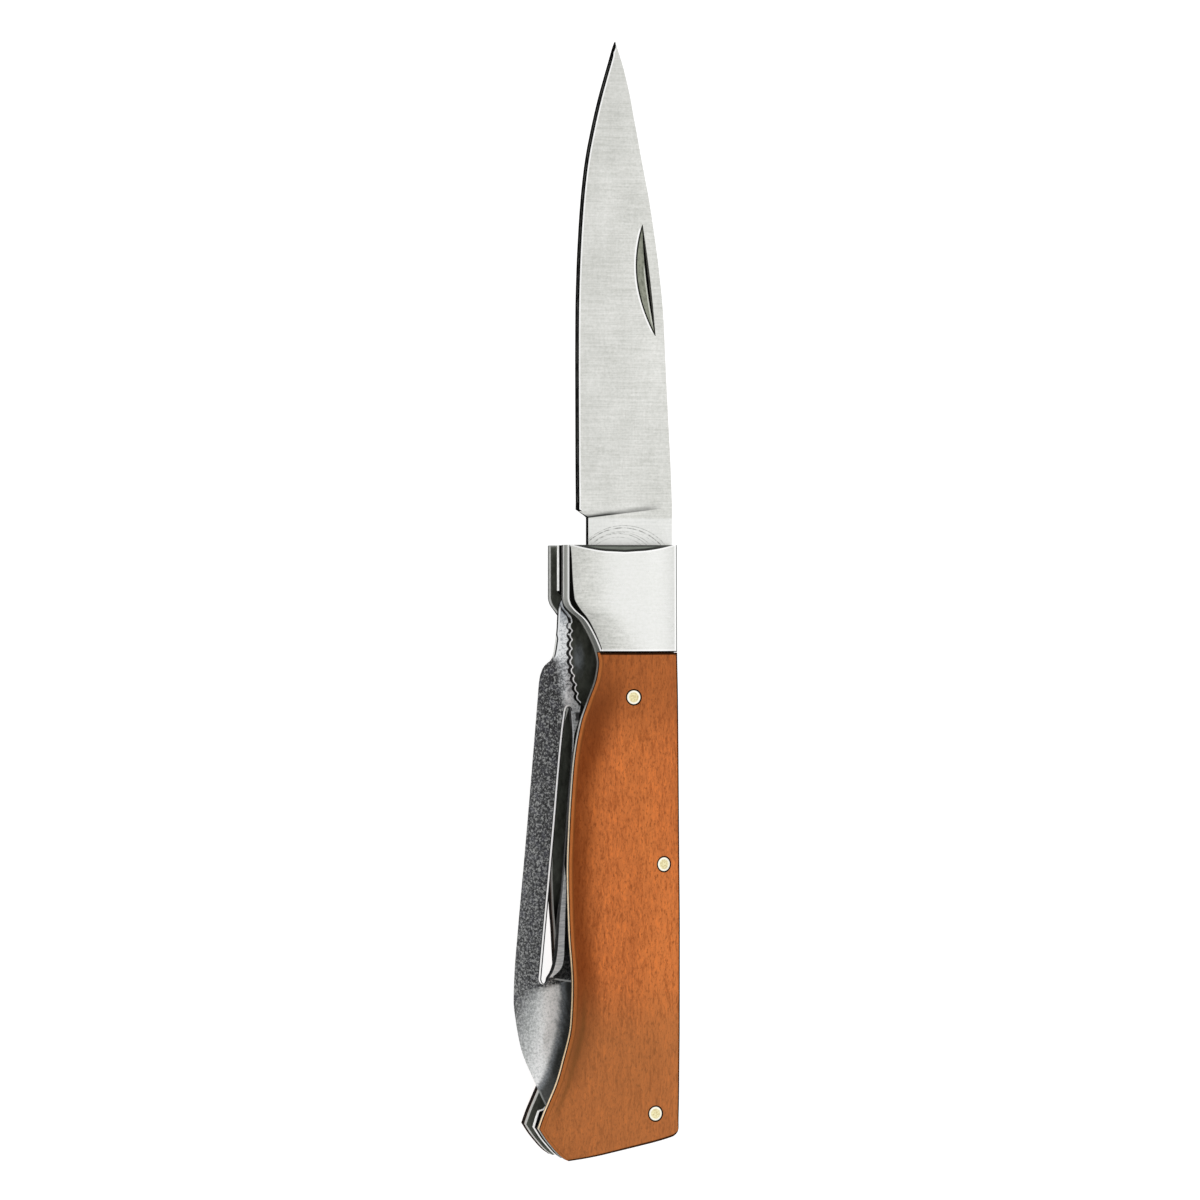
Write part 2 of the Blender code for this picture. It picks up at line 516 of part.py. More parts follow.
def make_blade(steel):
    """Full flat ground blade with a choil, a flat ricasso and a cammed tang."""
    edge, spine = curve(BLADE_EDGE), curve(BLADE_SPINE)
    mid_w = BLADE_W + BLADE_T / 2
    tip_vs = [84.5, 83.7, 82.6, 81.0, 78.8, 76.1, 73.3, 70.6, 67.9, 64.5, 60.5, 56.0,
              51.0, 45.5, 40.0, 34.0, 28.0, 22.0, 17.5, 14.2]

    def section(v, le, ri, half_spine, half_back, half_edge, bevel):
        """Upper and lower points from the edge to the spine."""
        width = ri - le
        b = min(bevel, width * 0.35)
        us = [le, le + b] + [le + b + (width - b) * s for s in (0.25, 0.5, 0.75, 1.0)]
        hs = [half_edge, half_back] + [half_back + (half_spine - half_back) * s
                                       for s in (0.25, 0.5, 0.75, 1.0)]
        return us, hs

    top, bottom = [], []
    for v in tip_vs:
        le, ri = edge(v), spine(v)
        taper = min(1.0, 0.34 + (BLADE_TIP_V - v) / 34.0)
        narrow = min(1.0, 0.15 + (ri - le) / 6.0)
        us, hs = section(v, le, ri, BLADE_T / 2 * taper * min(1.0, narrow + 0.1),
                         EDGE_BEVEL_T / 2 * narrow, EDGE_T / 2, EDGE_BEVEL_W)
        top.append([P(u, v, mid_w + h) for u, h in zip(us, hs)])
        bottom.append([P(u, v, mid_w - h) for u, h in zip(us, hs)])
    # the grind runs out at the ricasso on a line that leans towards the point
    # on the spine side
    for k, (v_edge, v_spine, thick) in enumerate(((13.42, 14.0, 0.30), (13.02, 13.78, 0.80),
                                                  (12.7, 13.5, 1.0))):
        le = RICASSO_EDGE if k == 2 else -9.60 + (0.48, 1.16)[k]
        ri = spine(14.2)
        us, hs = section(0, le, ri, BLADE_T / 2, EDGE_BEVEL_T / 2, EDGE_T / 2, EDGE_BEVEL_W)
        rowt, rowb = [], []
        for u, h in zip(us, hs):
            v = v_edge + (v_spine - v_edge) * (u - us[0]) / (us[-1] - us[0])
            h = h + (BLADE_T / 2 - h) * thick
            rowt.append(P(u, v, mid_w + h))
            rowb.append(P(u, v, mid_w - h))
        top.append(rowt)
        bottom.append(rowb)

    bm = bmesh.new()
    a = [[bm.verts.new(p) for p in row] for row in top]
    b = [[bm.verts.new(p) for p in row] for row in bottom]
    rows, cols = len(a), len(a[0])
    for i in range(rows - 1):
        for j in range(cols - 1):
            bm.faces.new((a[i][j], a[i][j + 1], a[i + 1][j + 1], a[i + 1][j]))
            bm.faces.new((b[i][j], b[i + 1][j], b[i + 1][j + 1], b[i][j + 1]))
        bm.faces.new((a[i][0], a[i + 1][0], b[i + 1][0], b[i][0]))
        bm.faces.new((a[i][-1], b[i][-1], b[i + 1][-1], a[i + 1][-1]))
    for j in range(cols - 1):
        bm.faces.new((a[0][j], b[0][j], b[0][j + 1], a[0][j + 1]))

    # ricasso and tang, about the pivot (pu, pv)
    pu, pv = BLADE_PIVOT
    tang = [(BACK_U, 12.0), (BACK_U, 6.0), (BACK_U - 0.05, TANG_SEAM_V),
            (BACK_U - SPRING_T - 0.05, TANG_SEAM_V)]
    tang += [(pu + 5.50, pv - 3.4)]
    tang += arc(pu, pv - 0.1, 5.3, -42, -132, 8)
    tang += [(pu - 4.6, pv - 3.6), (pu - 5.45, pv - 2.4), (pu - 5.62, pv - 0.5),
             (pu - 5.66, pv + 2.0), (pu - 5.60, pv + 3.6), (pu - 5.30, pv + 4.5),
             (RICASSO_EDGE, pv + 5.1), (RICASSO_EDGE, 9.0)]
    th = [bm.verts.new(P(u, v, mid_w + BLADE_T / 2)) for u, v in tang]
    tl = [bm.verts.new(P(u, v, mid_w - BLADE_T / 2)) for u, v in tang]
    ring_h = a[-1] + th
    ring_l = b[-1] + tl
    bm.faces.new(list(reversed(ring_h)))
    bm.faces.new(ring_l)
    n = len(ring_h)
    for i in range(cols - 1, n):
        j = (i + 1) % n
        bm.faces.new((ring_h[i], ring_h[j], ring_l[j], ring_l[i]))
    blade = finish_object("main_blade", bm, steel, P(pu, pv, 0), smooth=0.12)

    hole = cutter("cut_blade_pivot", prism(circle(pu, pv, PIVOT_HOLE_R), W_CENTRE, W_NEAR_LINER + 1))
    boolean(blade, hole)

    # nail nick: a crescent whose floor falls towards its nearly straight wall
    nick_top, nick_bot = [], []
    for s in steps(0.0, 1.0, 18):
        v = NICK_TOP_V + (NICK_END_V - NICK_TOP_V) * s
        wall = NICK_TOP_U + (NICK_END_U - NICK_TOP_U) * s + 0.12 * math.sin(math.pi * s)
        lens = math.sin(math.pi * min(max(s, 0.01), 0.99)) ** 0.85
        width, depth = 0.10 + NICK_WIDTH * lens, 0.04 + NICK_DEPTH * lens
        left = wall - width

        def face(u):
            le, ri = edge(v) + EDGE_BEVEL_W, spine(v)
            return mid_w + (EDGE_BEVEL_T + (BLADE_T - EDGE_BEVEL_T) * (u - le) / (ri - le)) / 2

        floor = face(wall) - depth
        slope = (face(left) - floor) / width
        lead = 0.4
        nick_top.append([P(left - lead, v, face(wall) + 0.6), P(wall + 0.06, v, face(wall) + 0.6)])
        nick_bot.append([P(left - lead, v, face(left) + slope * lead), P(wall, v, floor)])
    nick = cutter("cut_nail_nick", grid_solid(nick_top, nick_bot))
    boolean(blade, nick)
    return blade


def make_peeler(steel):
    """Gutter-shaped blade of one sheet, slotted, on a solid tang."""
    rim, trim = curve(PEELER_RIM), curve(PEELER_TRIM)
    right, crown = curve(PEELER_RIGHT), curve(PEELER_CROWN)
    pu, pv = PEELER_PIVOT

    def top_w(u, v):
        a = max(0.0, u - rim(v))
        peak = crown(v)
        if a < PEELER_RISE:
            w = PEELER_RIM_W + (peak - PEELER_RIM_W) * (1 - (1 - a / PEELER_RISE) ** 1.8)
        else:
            start = rim(v) + PEELER_RISE
            inside = slot_side(v) + 0.4
            span = max(1.0, inside - start)
            s = min(1.0, (u - start) / span)
            s = s * s * (3 - 2 * s)
            w = peak - (peak - min(peak, 8.20)) * s
            if u > start + span:
                w -= 0.16 * (u - start - span)
        # low enough to pass between the layers wherever the butt reaches
        r = math.hypot(u - pu, v - pv)
        limit = 8.22 + max(0.0, min(1.0, (r - 18.0) / 3.2)) * 1.2
        return min(w, limit)

    vs = [0.0, -0.35, -0.9, -1.7, -3.0, -5.0, -7.0, -8.3, -8.9, -9.4, -9.9, -10.5, -11.3,
          -12.4, -14.0, -16.0, -18.5, -21.5, -25.0, -29.0, -33.0, -37.0, -41.0, -45.0,
          -49.0, -52.5, -55.5, -58.0, -60.0, -62.0, -64.0, -66.0, -68.0, -70.0, -71.7,
          -73.2, -74.6, -75.8, -77.0, -78.2, -79.0, -79.6]
    top, bottom = [], []
    fractions = (0.0, 0.05, 0.11, 0.18, 0.26, 0.34, 0.43, 0.53, 0.64, 0.76, 0.88, 1.0)
    for v in vs:
        le, ri = rim(v) + trim(v), right(v)
        us = [le + (ri - le) * f for f in fractions]
        ws = [top_w(u, v) for u in us]
        rowt, rowb = [], []
        for k, (u, w) in enumerate(zip(us, ws)):
            k0, k1 = max(0, k - 1), min(len(us) - 1, k + 1)
            du, dw = us[k1] - us[k0], ws[k1] - ws[k0]
            length = math.hypot(du, dw)
            nu, nw = dw / length, -du / length
            rowt.append(P(u, v, w))
            rowb.append(P(u + nu * PEELER_SHEET_T, v, max(4.95, w + nw * PEELER_SHEET_T)))
        top.append(rowt)
        bottom.append(rowb)
    peeler = finish_object("peeler", grid_solid(top, bottom), steel, P(pu, pv, 0), smooth=0.5)

    # solid tang, joined to the sheet under the liner's edge
    tang = [(-9.4, -64.2), (-7.6, -62.6), (-5.6, -63.6), (-3.6, -66.2), (-1.6, -69.4),
            (0.6, -72.4), (2.4, -74.2), (3.72, -75.4)]
    tang += [(3.75, -78.0)] + arc(pu, pv, 2.95, -36, -140, 9)
    tang += [(pu - 2.32, pv - 1.0), (pu - 2.32, pv + 0.65), (-2.2, pv + 1.0), (-6.0, pv + 0.95),
             (-9.6, pv + 1.3), (-11.0, pv + 2.4), (-11.0, -72.0), (-10.4, -68.0)]
    block = cutter("join_peeler_tang", prism(tang, TANG_W, TANG_W + TANG_T - 0.12))
    boolean(peeler, block, 'UNION')
    boolean(peeler, cutter("cut_peeler_pivot", prism(circle(pu, pv, PIN_HOLE_R), 0, TOTAL_T)))

    # the peeling slot, round at both ends
    left, far = curve(SLOT_LEFT), SLOT_RIGHT
    slot = [(left(v), v) for v in steps(-16.9, -57.4, 12)]
    slot += [(-14.62, -58.05), (-14.2, -58.25), (-13.8, -58.05)]
    slot += [(u, v) for v, u in far]
    slot += [(-9.95, -16.25), (-10.35, -16.05), (-10.75, -16.3)]
    boolean(peeler, cutter("cut_slot", prism(slot, 0, TOTAL_T)))

    # scalloped teeth along the tip's inner edge
    line = curve(PEELER_RIGHT)
    teeth = bmesh.new()
    for k in range(SERRATIONS):
        v = -4.0 - SERRATION_PITCH * k
        u = line(v) + 0.30
        pts = circle(u, v, SERRATION_R, 14)
        low = [teeth.verts.new(P(a, b, 0.0)) for a, b in pts]
        high = [teeth.verts.new(P(a, b, TOTAL_T)) for a, b in pts]
        teeth.faces.new(list(reversed(low)))
        teeth.faces.new(high)
        for i in range(len(pts)):
            j = (i + 1) % len(pts)
            teeth.faces.new((low[i], low[j], high[j], high[i]))
    boolean(peeler, cutter("cut_teeth", teeth))
    return peeler


def main():
    for obj in list(bpy.data.objects):
        bpy.data.objects.remove(obj, do_unlink=True)
    steel = material("liner_steel", (0.46, 0.46, 0.45), 0.38, 1.0)
    blade_steel = material("blade_steel", (0.70, 0.69, 0.67), 0.32, 1.0)
    peeler_steel = material("peeler_steel", (0.36, 0.36, 0.37), 0.48, 1.0)
    spring_steel = material("spring_steel", (0.50, 0.50, 0.49), 0.35, 1.0)
    bolster_steel = material("bolster_steel", (0.78, 0.78, 0.77), 0.25, 1.0)
    cherry = material("cherry_wood", (0.48, 0.17, 0.045), 0.45, 0.0)
    brass = material("pin_brass", (0.80, 0.66, 0.36), 0.30, 1.0)
    pivot_steel = material("pivot_steel", (0.62, 0.62, 0.61), 0.30, 1.0)

    pivot_tool, butt_tool, mid_tool = make_handle(steel, cherry, bolster_steel)
    make_pins(brass, pivot_steel)
    make_springs(spring_steel, pivot_tool, butt_tool, mid_tool)
    make_blade(blade_steel)
    make_peeler(peeler_steel)


main()
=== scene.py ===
"""Looks of the folding paring knife: fine surfaces, finishes, light and camera.

Every visible piece but the blade's pivot pin, which keeps its plain solid with a new
material, is built here again as a fine mesh in the same place as the plain solid
that it stands for.  Drawing dimensions are millimetres (u along X, v along Y, w along Z);
P() turns them into metres about the part's origin.
"""
import math

import bpy
import bmesh
from mathutils import Matrix, Vector


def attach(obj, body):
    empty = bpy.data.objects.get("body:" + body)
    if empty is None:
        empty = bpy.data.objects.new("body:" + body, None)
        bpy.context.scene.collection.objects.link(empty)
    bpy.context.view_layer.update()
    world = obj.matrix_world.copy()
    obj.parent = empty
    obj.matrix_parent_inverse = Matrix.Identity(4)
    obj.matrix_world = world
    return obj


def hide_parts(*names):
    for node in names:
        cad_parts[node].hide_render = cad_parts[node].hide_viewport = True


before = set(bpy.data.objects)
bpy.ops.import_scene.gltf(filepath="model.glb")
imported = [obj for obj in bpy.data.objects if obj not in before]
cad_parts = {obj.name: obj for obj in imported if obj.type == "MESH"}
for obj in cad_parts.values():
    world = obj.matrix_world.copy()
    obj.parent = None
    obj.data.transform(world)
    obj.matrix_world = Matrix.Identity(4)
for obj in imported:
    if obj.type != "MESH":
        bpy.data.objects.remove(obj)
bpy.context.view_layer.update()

# ------------------------------------------------------------------ dimensions
MM = 0.001
DRAW_SHIFT_U, DRAW_SHIFT_V = 6.115, 0.10

SCALE_CROWN = 3.55
SEAM = 0.05
W_FAR_LINER = 3.60
W_PEELER_GAP = 4.80
W_CENTRE = 8.40
W_BLADE_GAP = 9.55
W_NEAR_LINER = 11.10
W_NEAR_SCALE = 12.30
TOTAL_T = 15.90

BOLSTER_FRONT_V, BOLSTER_REAR_V, SCALE_FRONT_V = 8.33, -7.88, -7.98
BUTT_TABLE = [(-73.0, -13.02), (-75.6, -14.12), (-78.0, -15.18), (-79.9, -15.88)]
SLOT_SIDE = [(8.33, -12.0), (0.4, -12.0), (-0.6, -11.75), (-1.5, -11.05),
             (-3.0, -9.35), (-4.55, -8.35), (-6.1, -7.55), (-7.6, -6.95),
             (-9.5, -6.55), (-11.7, -6.85), (-15.3, -8.15), (-18.6, -9.30),
             (-23.6, -10.25), (-27.0, -10.60), (-34.0, -11.05), (-41.0, -11.28),
             (-50.0, -11.05), (-58.3, -10.52), (-64.0, -10.75), (-70.3, -12.20)] + BUTT_TABLE
SLOT_SIDE_FAR = [(8.33, -12.0), (0.4, -12.0), (-0.6, -11.75), (-1.5, -11.10),
                 (-3.0, -10.0), (-4.55, -9.40), (-6.1, -9.15), (-7.6, -9.02),
                 (-9.5, -8.95), (-11.7, -8.88), (-15.3, -8.90), (-18.6, -9.75),
                 (-23.6, -10.55), (-27.0, -10.86), (-30.0, -11.14), (-34.0, -11.45),
                 (-41.0, -11.72), (-47.0, -11.52), (-50.0, -11.28), (-53.0, -11.12),
                 (-58.3, -10.88), (-64.0, -10.95), (-70.3, -12.20)] + BUTT_TABLE
BUTT_LOWER = [(-79.9, -15.88), (-81.4, -14.90), (-82.7, -13.86), (-83.95, -12.70), (-84.7, -11.68)]
BACK_SIDE = [(8.33, 5.36), (-7.6, 5.40), (-15.0, 5.53), (-30.0, 5.66),
             (-41.0, 5.75), (-50.0, 5.82), (-65.0, 5.80), (-70.3, 5.75)]
BUTT_ROWS = [((-13.02, -73.0), (5.73, -71.9)), ((-14.12, -75.6), (5.72, -73.5)),
             ((-15.18, -78.0), (5.70, -75.0)), ((-15.88, -79.9), (5.68, -76.3)),
             ((-14.90, -81.4), (5.66, -77.4)), ((-13.86, -82.7), (5.63, -78.4)),
             ((-12.70, -83.95), (5.60, -79.3)), ((-11.68, -84.7), (5.57, -80.1))]
BUTT_BULGE = 0.95

EDGE_WALL, EDGE_ROUND_W, EDGE_ROUND_H = 1.55, 0.50, 2.05
CROWN_REACH = 5.5
FRONT_BEVEL_SLOPE = 0.757
FAR_INSET = 0.35

PIN_R, PIN_HOLE_R = 1.17, 1.25
PIVOT_R, PIVOT_HOLE_R = 1.50, 1.55
BLADE_PIVOT = (-3.0, 2.58)
PEELER_PIVOT = (1.45, -77.7)
SPRING_PIN = (2.87, -40.0)
SCALE_PIN = (-2.02, -14.7)

BLADE_T = 1.35
BLADE_MID_W = W_BLADE_GAP + 0.10 + BLADE_T / 2
BLADE_EDGE = [(84.9, -3.40), (84.6, -3.56), (84.0, -3.79), (81.5, -4.53), (78.8, -5.33), (76.1, -6.09),
              (73.3, -6.78), (70.6, -7.38), (67.9, -7.92), (65.0, -8.36),
              (61.0, -8.80), (56.0, -9.17), (50.0, -9.47), (43.3, -9.64),
              (36.0, -9.67), (28.0, -9.65), (20.0, -9.62), (14.2, -9.57)]
BLADE_SPINE = [(84.9, -3.36), (84.6, -3.26), (84.0, -3.08), (81.5, -2.28), (78.8, -1.60), (76.1, -1.02),
               (73.3, -0.52), (70.6, 0.0), (67.9, 0.48), (65.0, 1.03),
               (61.0, 1.80), (56.0, 2.60), (50.0, 3.42), (43.3, 4.08),
               (36.0, 4.44), (28.0, 4.84), (20.0, 5.26), (14.2, 5.48)]
EDGE_BEVEL_W, EDGE_BEVEL_T, EDGE_T = 0.55, 0.36, 0.05
RICASSO_EDGE, BACK_U, TANG_SEAM_V = -7.78, 5.46, 0.10
NICK_TOP_V, NICK_TOP_U = 57.1, 0.84
NICK_END_V, NICK_END_U = 40.2, 2.88
NICK_WIDTH, NICK_DEPTH = 2.10, 0.34

PEELER_SHEET_T, TANG_T, TANG_W = 0.85, 3.40, 4.90
PEELER_RIM = [(0.0, -13.1), (-12.0, -14.02), (-24.0, -15.02), (-38.0, -16.25),
              (-50.0, -17.36), (-57.0, -17.92), (-61.0, -18.05), (-64.0, -17.72),
              (-68.2, -16.90), (-70.5, -16.08), (-72.7, -15.05), (-74.5, -14.25),
              (-76.8, -13.15), (-78.4, -12.20), (-79.6, -11.20)]
PEELER_TRIM = [(0.0, 1.95), (-0.5, 1.72), (-1.4, 1.60), (-4.5, 1.64),
               (-6.8, 1.54), (-8.3, 1.40), (-9.1, 1.20), (-9.6, 0.80),
               (-10.0, 0.50), (-10.6, 0.26), (-11.7, 0.06), (-13.0, 0.0),
               (-79.6, 0.0)]
PEELER_RIGHT = [(0.0, -11.0), (-0.5, -10.98), (-1.2, -10.80), (-1.9, -10.22), (-2.5, -9.72), (-3.3, -9.50), (-5.2, -9.45),
                (-8.3, -9.55), (-10.3, -9.40), (-12.9, -8.85), (-15.2, -8.30),
                (-16.3, -7.70), (-18.0, -7.30), (-22.0, -7.10), (-58.0, -7.10),
                (-62.0, -6.40), (-66.0, -5.20), (-76.8, -4.60), (-79.6, -6.60)]
PEELER_RIM_W, PEELER_RISE = 5.55, 3.5
PEELER_CROWN = [(0.0, 8.15), (-3.0, 8.22), (-12.0, 8.60), (-24.0, 9.05),
                (-36.0, 9.38), (-58.0, 9.38), (-64.0, 9.0), (-70.0, 8.4),
                (-79.6, 8.2)]
SLOT_TOP_V, SLOT_END_V = -16.9, -57.4
SLOT_LEFT = [(-16.9, -10.67), (-19.7, -11.08), (-24.2, -11.58),
             (-42.4, -13.30), (-54.5, -14.45), (-57.4, -14.72)]
SLOT_RIGHT = [(-16.9, -9.68), (-20.8, -9.30), (-30.0, -9.98), (-43.2, -11.02),
              (-48.5, -11.60), (-53.8, -12.05), (-56.2, -12.70), (-57.4, -13.55)]
SERRATIONS, SERRATION_PITCH, SERRATION_R = 9, 1.36, 0.62


# --------------------------------------------------------------------- helpers
def P(u, v, w):
    return Vector(((u + DRAW_SHIFT_U) * MM, (v + DRAW_SHIFT_V) * MM, w * MM))


def drawing(co):
    """Drawing coordinates of a point of the part."""
    return co.x / MM - DRAW_SHIFT_U, co.y / MM - DRAW_SHIFT_V, co.z / MM


def curve(table):
    """Smooth monotone curve through (key, value) pairs, falling keys."""
    xs = [-k for k, _ in table]
    ys = [val for _, val in table]
    n = len(xs)
    d = [(ys[i + 1] - ys[i]) / (xs[i + 1] - xs[i]) for i in range(n - 1)]
    m = [d[0]] + [0.0] * (n - 2) + [d[-1]]
    for i in range(1, n - 1):
        if d[i - 1] * d[i] > 0:
            m[i] = 2 * d[i - 1] * d[i] / (d[i - 1] + d[i])

    def value(v):
        x = -v
        if x <= xs[0]:
            return ys[0]
        if x >= xs[-1]:
            return ys[-1]
        i = max(k for k in range(n - 1) if xs[k] <= x)
        h = xs[i + 1] - xs[i]
        t = (x - xs[i]) / h
        return ((1 + 2 * t) * (1 - t) ** 2 * ys[i] + t * (1 - t) ** 2 * h * m[i]
                + t * t * (3 - 2 * t) * ys[i + 1] + t * t * (t - 1) * h * m[i + 1])
    return value


slot_side = curve(SLOT_SIDE)
slot_side_far = curve(SLOT_SIDE_FAR)
butt_lower = curve(BUTT_LOWER)
back_side = curve(BACK_SIDE)


def steps(a, b, n):
    return [a + (b - a) * i / n for i in range(n + 1)]


def ease(x):
    x = max(0.0, min(1.0, x))
    return x * x * (3 - 2 * x)


def bolster_side_far(v):
    return slot_side_far(v) + FAR_INSET * ease((v + 6.0) / 6.0)


def circle(cu, cv, r, n=64, start=0.0):
    return [(cu + r * math.cos(start + 2 * math.pi * i / n),
             cv + r * math.sin(start + 2 * math.pi * i / n)) for i in range(n)]


def arc(cu, cv, r, a0, a1, n):
    return [(cu + r * math.cos(math.radians(a)), cv + r * math.sin(math.radians(a)))
            for a in steps(a0, a1, n)]


def mesh_object(name, bm, smooth=0.6):
    bmesh.ops.recalc_face_normals(bm, faces=bm.faces)
    mesh = bpy.data.meshes.new(name)
    bm.to_mesh(mesh)
    bm.free()
    mesh.shade_smooth()
    mesh.set_sharp_from_angle(angle=smooth)
    obj = bpy.data.objects.new(name, mesh)
    bpy.context.scene.collection.objects.link(obj)
    return obj


def prism(outline, w0, w1, rim=0.0):
    """Closed plate from an outline of (u, v) points; rim rounds its edges off by that much."""
    bm = bmesh.new()
    n = len(outline)
    levels = [(w0, rim), (w0 + rim, 0.0), (w1 - rim, 0.0), (w1, rim)] if rim else [(w0, 0.0), (w1, 0.0)]
    normals = []
    for i in range(n):
        (au, av), (bu, bv) = outline[i - 1], outline[(i + 1) % n]
        length = math.hypot(bu - au, bv - av) or 1.0
        normals.append(((av - bv) / length, (bu - au) / length))
    rings = [[bm.verts.new(P(u + nu * inset, v + nv * inset, w))
              for (u, v), (nu, nv) in zip(outline, normals)] for w, inset in levels]
    bm.faces.new(list(reversed(rings[0])))
    bm.faces.new(rings[-1])
    for low, high in zip(rings, rings[1:]):
        for i in range(n):
            j = (i + 1) % n
            bm.faces.new((low[i], low[j], high[j], high[i]))
    return bm


def grid_solid(top, bottom):
    """Closed shell between two grids of points of the same size."""
    bm = bmesh.new()
    a = [[bm.verts.new(p) for p in row] for row in top]
    b = [[bm.verts.new(p) for p in row] for row in bottom]
    rows, cols = len(top), len(top[0])
    for i in range(rows - 1):
        for j in range(cols - 1):
            bm.faces.new((a[i][j], a[i][j + 1], a[i + 1][j + 1], a[i + 1][j]))
            bm.faces.new((b[i][j], b[i + 1][j], b[i + 1][j + 1], b[i][j + 1]))
        bm.faces.new((a[i][0], a[i + 1][0], b[i + 1][0], b[i][0]))
        bm.faces.new((a[i][-1], b[i][-1], b[i + 1][-1], a[i + 1][-1]))
    for j in range(cols - 1):
        bm.faces.new((a[0][j], b[0][j], b[0][j + 1], a[0][j + 1]))
        bm.faces.new((a[-1][j], a[-1][j + 1], b[-1][j + 1], b[-1][j]))
    return bm


def carve(obj, tools, operation='DIFFERENCE', smooth=0.55):
    """Cut the tools from obj, or join them to it, and keep the result as its mesh."""
    for tool in tools:
        mod = obj.modifiers.new("cut", 'BOOLEAN')
        mod.operation = operation
        mod.solver = 'EXACT'
        mod.object = tool
    bpy.context.view_layer.update()
    graph = bpy.context.evaluated_depsgraph_get()
    mesh = bpy.data.meshes.new_from_object(obj.evaluated_get(graph), depsgraph=graph)
    obj.modifiers.clear()
    mesh.shade_smooth()
    mesh.set_sharp_from_angle(angle=smooth)
    old, obj.data = obj.data, mesh
    bpy.data.meshes.remove(old)
    return obj


def discard(*objs):
    for o in objs:
        mesh = o.data
        bpy.data.objects.remove(o, do_unlink=True)
        bpy.data.meshes.remove(mesh)


def paint(obj, name, value):
    """Point attribute from a function of drawing coordinates."""
    layer = obj.data.attributes.new(name, 'FLOAT', 'POINT')
    layer.data.foreach_set("value", [value(*drawing(v.co)) for v in obj.data.vertices])


def dress(obj, materials, choose=None):
    """Give obj its materials; choose(u, v, w, normal) picks one for each face."""
    obj.data.materials.clear()
    for m in materials:
        obj.data.materials.append(m)
    for poly in obj.data.polygons:
        poly.material_index = choose(*drawing(poly.center), poly.normal) if choose else 0


def settle(obj, body, node):
    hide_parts(node)
    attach(obj, body)


# ------------------------------------------------------------------- materials
class Finish:
    """Small builder for a node material around one Principled shader."""

    def __init__(self, name, rough, metal):
        self.mat = bpy.data.materials.new(name)
        self.mat.use_nodes = True
        self.tree = self.mat.node_tree
        self.tree.nodes.clear()
        out = self.tree.nodes.new('ShaderNodeOutputMaterial')
        self.bsdf = self.tree.nodes.new('ShaderNodeBsdfPrincipled')
        self.tree.links.new(self.bsdf.outputs[0], out.inputs[0])
        self.bsdf.inputs['Roughness'].default_value = rough
        self.bsdf.inputs['Metallic'].default_value = metal
        self.place = self.tree.nodes.new('ShaderNodeTexCoord').outputs['Object']

    def put(self, socket, value):
        if isinstance(value, bpy.types.NodeSocket):
            self.tree.links.new(value, socket)
        elif isinstance(value, (tuple, list)) and len(value) == 3 and socket.type == 'RGBA':
            socket.default_value = (*value, 1.0)
        else:
            socket.default_value = value

    def coords(self, su, sv, sw, turn=0.0):
        """Object coordinates in millimetres times the three scales."""
        node = self.tree.nodes.new('ShaderNodeMapping')
        node.inputs['Scale'].default_value = (su * 1000, sv * 1000, sw * 1000)
        node.inputs['Rotation'].default_value = (0, 0, turn)
        self.tree.links.new(self.place, node.inputs['Vector'])
        return node.outputs[0]

    def noise(self, vector, scale=1.0, detail=3.0, rough=0.55, warp=0.0):
        node = self.tree.nodes.new('ShaderNodeTexNoise')
        self.put(node.inputs['Vector'], vector)
        node.inputs['Scale'].default_value = scale
        node.inputs['Detail'].default_value = detail
        node.inputs['Roughness'].default_value = rough
        node.inputs['Distortion'].default_value = warp
        return node.outputs['Fac']

    def remap(self, value, lo, hi, a=0.0, b=1.0):
        node = self.tree.nodes.new('ShaderNodeMapRange')
        node.interpolation_type = 'SMOOTHSTEP'
        self.put(node.inputs['Value'], value)
        for key, x in (('From Min', lo), ('From Max', hi), ('To Min', a), ('To Max', b)):
            node.inputs[key].default_value = x
        return node.outputs[0]

    def linear(self, value, lo, hi, a=0.0, b=1.0):
        node = self.tree.nodes.new('ShaderNodeMapRange')
        self.put(node.inputs['Value'], value)
        for key, x in (('From Min', lo), ('From Max', hi), ('To Min', a), ('To Max', b)):
            node.inputs[key].default_value = x
        return node.outputs[0]

    def calc(self, op, a, b=0.0):
        node = self.tree.nodes.new('ShaderNodeMath')
        node.operation = op
        self.put(node.inputs[0], a)
        self.put(node.inputs[1], b)
        return node.outputs[0]

    def mix(self, fac, a, b, mode='MIX'):
        node = self.tree.nodes.new('ShaderNodeMix')
        node.data_type = 'RGBA'
        node.blend_type = mode
        self.put(node.inputs[0], fac)
        self.put(node.inputs[6], a)
        self.put(node.inputs[7], b)
        return node.outputs[2]

    def attribute(self, name):
        node = self.tree.nodes.new('ShaderNodeAttribute')
        node.attribute_name = name
        return node.outputs['Fac']

    def axis(self, which):
        node = self.tree.nodes.new('ShaderNodeSeparateXYZ')
        self.tree.links.new(self.coords(1, 1, 1), node.inputs[0])
        return node.outputs[which]

    def colour(self, value):
        self.put(self.bsdf.inputs['Base Color'], value)

    def rough(self, value):
        self.put(self.bsdf.inputs['Roughness'], value)

    def bump(self, height, strength, distance_mm):
        node = self.tree.nodes.new('ShaderNodeBump')
        node.inputs['Strength'].default_value = strength
        node.inputs['Distance'].default_value = distance_mm * MM
        self.put(node.inputs['Height'], height)
        self.tree.links.new(node.outputs[0], self.bsdf.inputs['Normal'])


def lin(r, g, b):
    """Linear colour from display values of 0 to 255."""
    return tuple(((c / 255 + 0.055) / 1.055) ** 2.4 if c > 10 else c / 255 / 12.92 for c in (r, g, b))


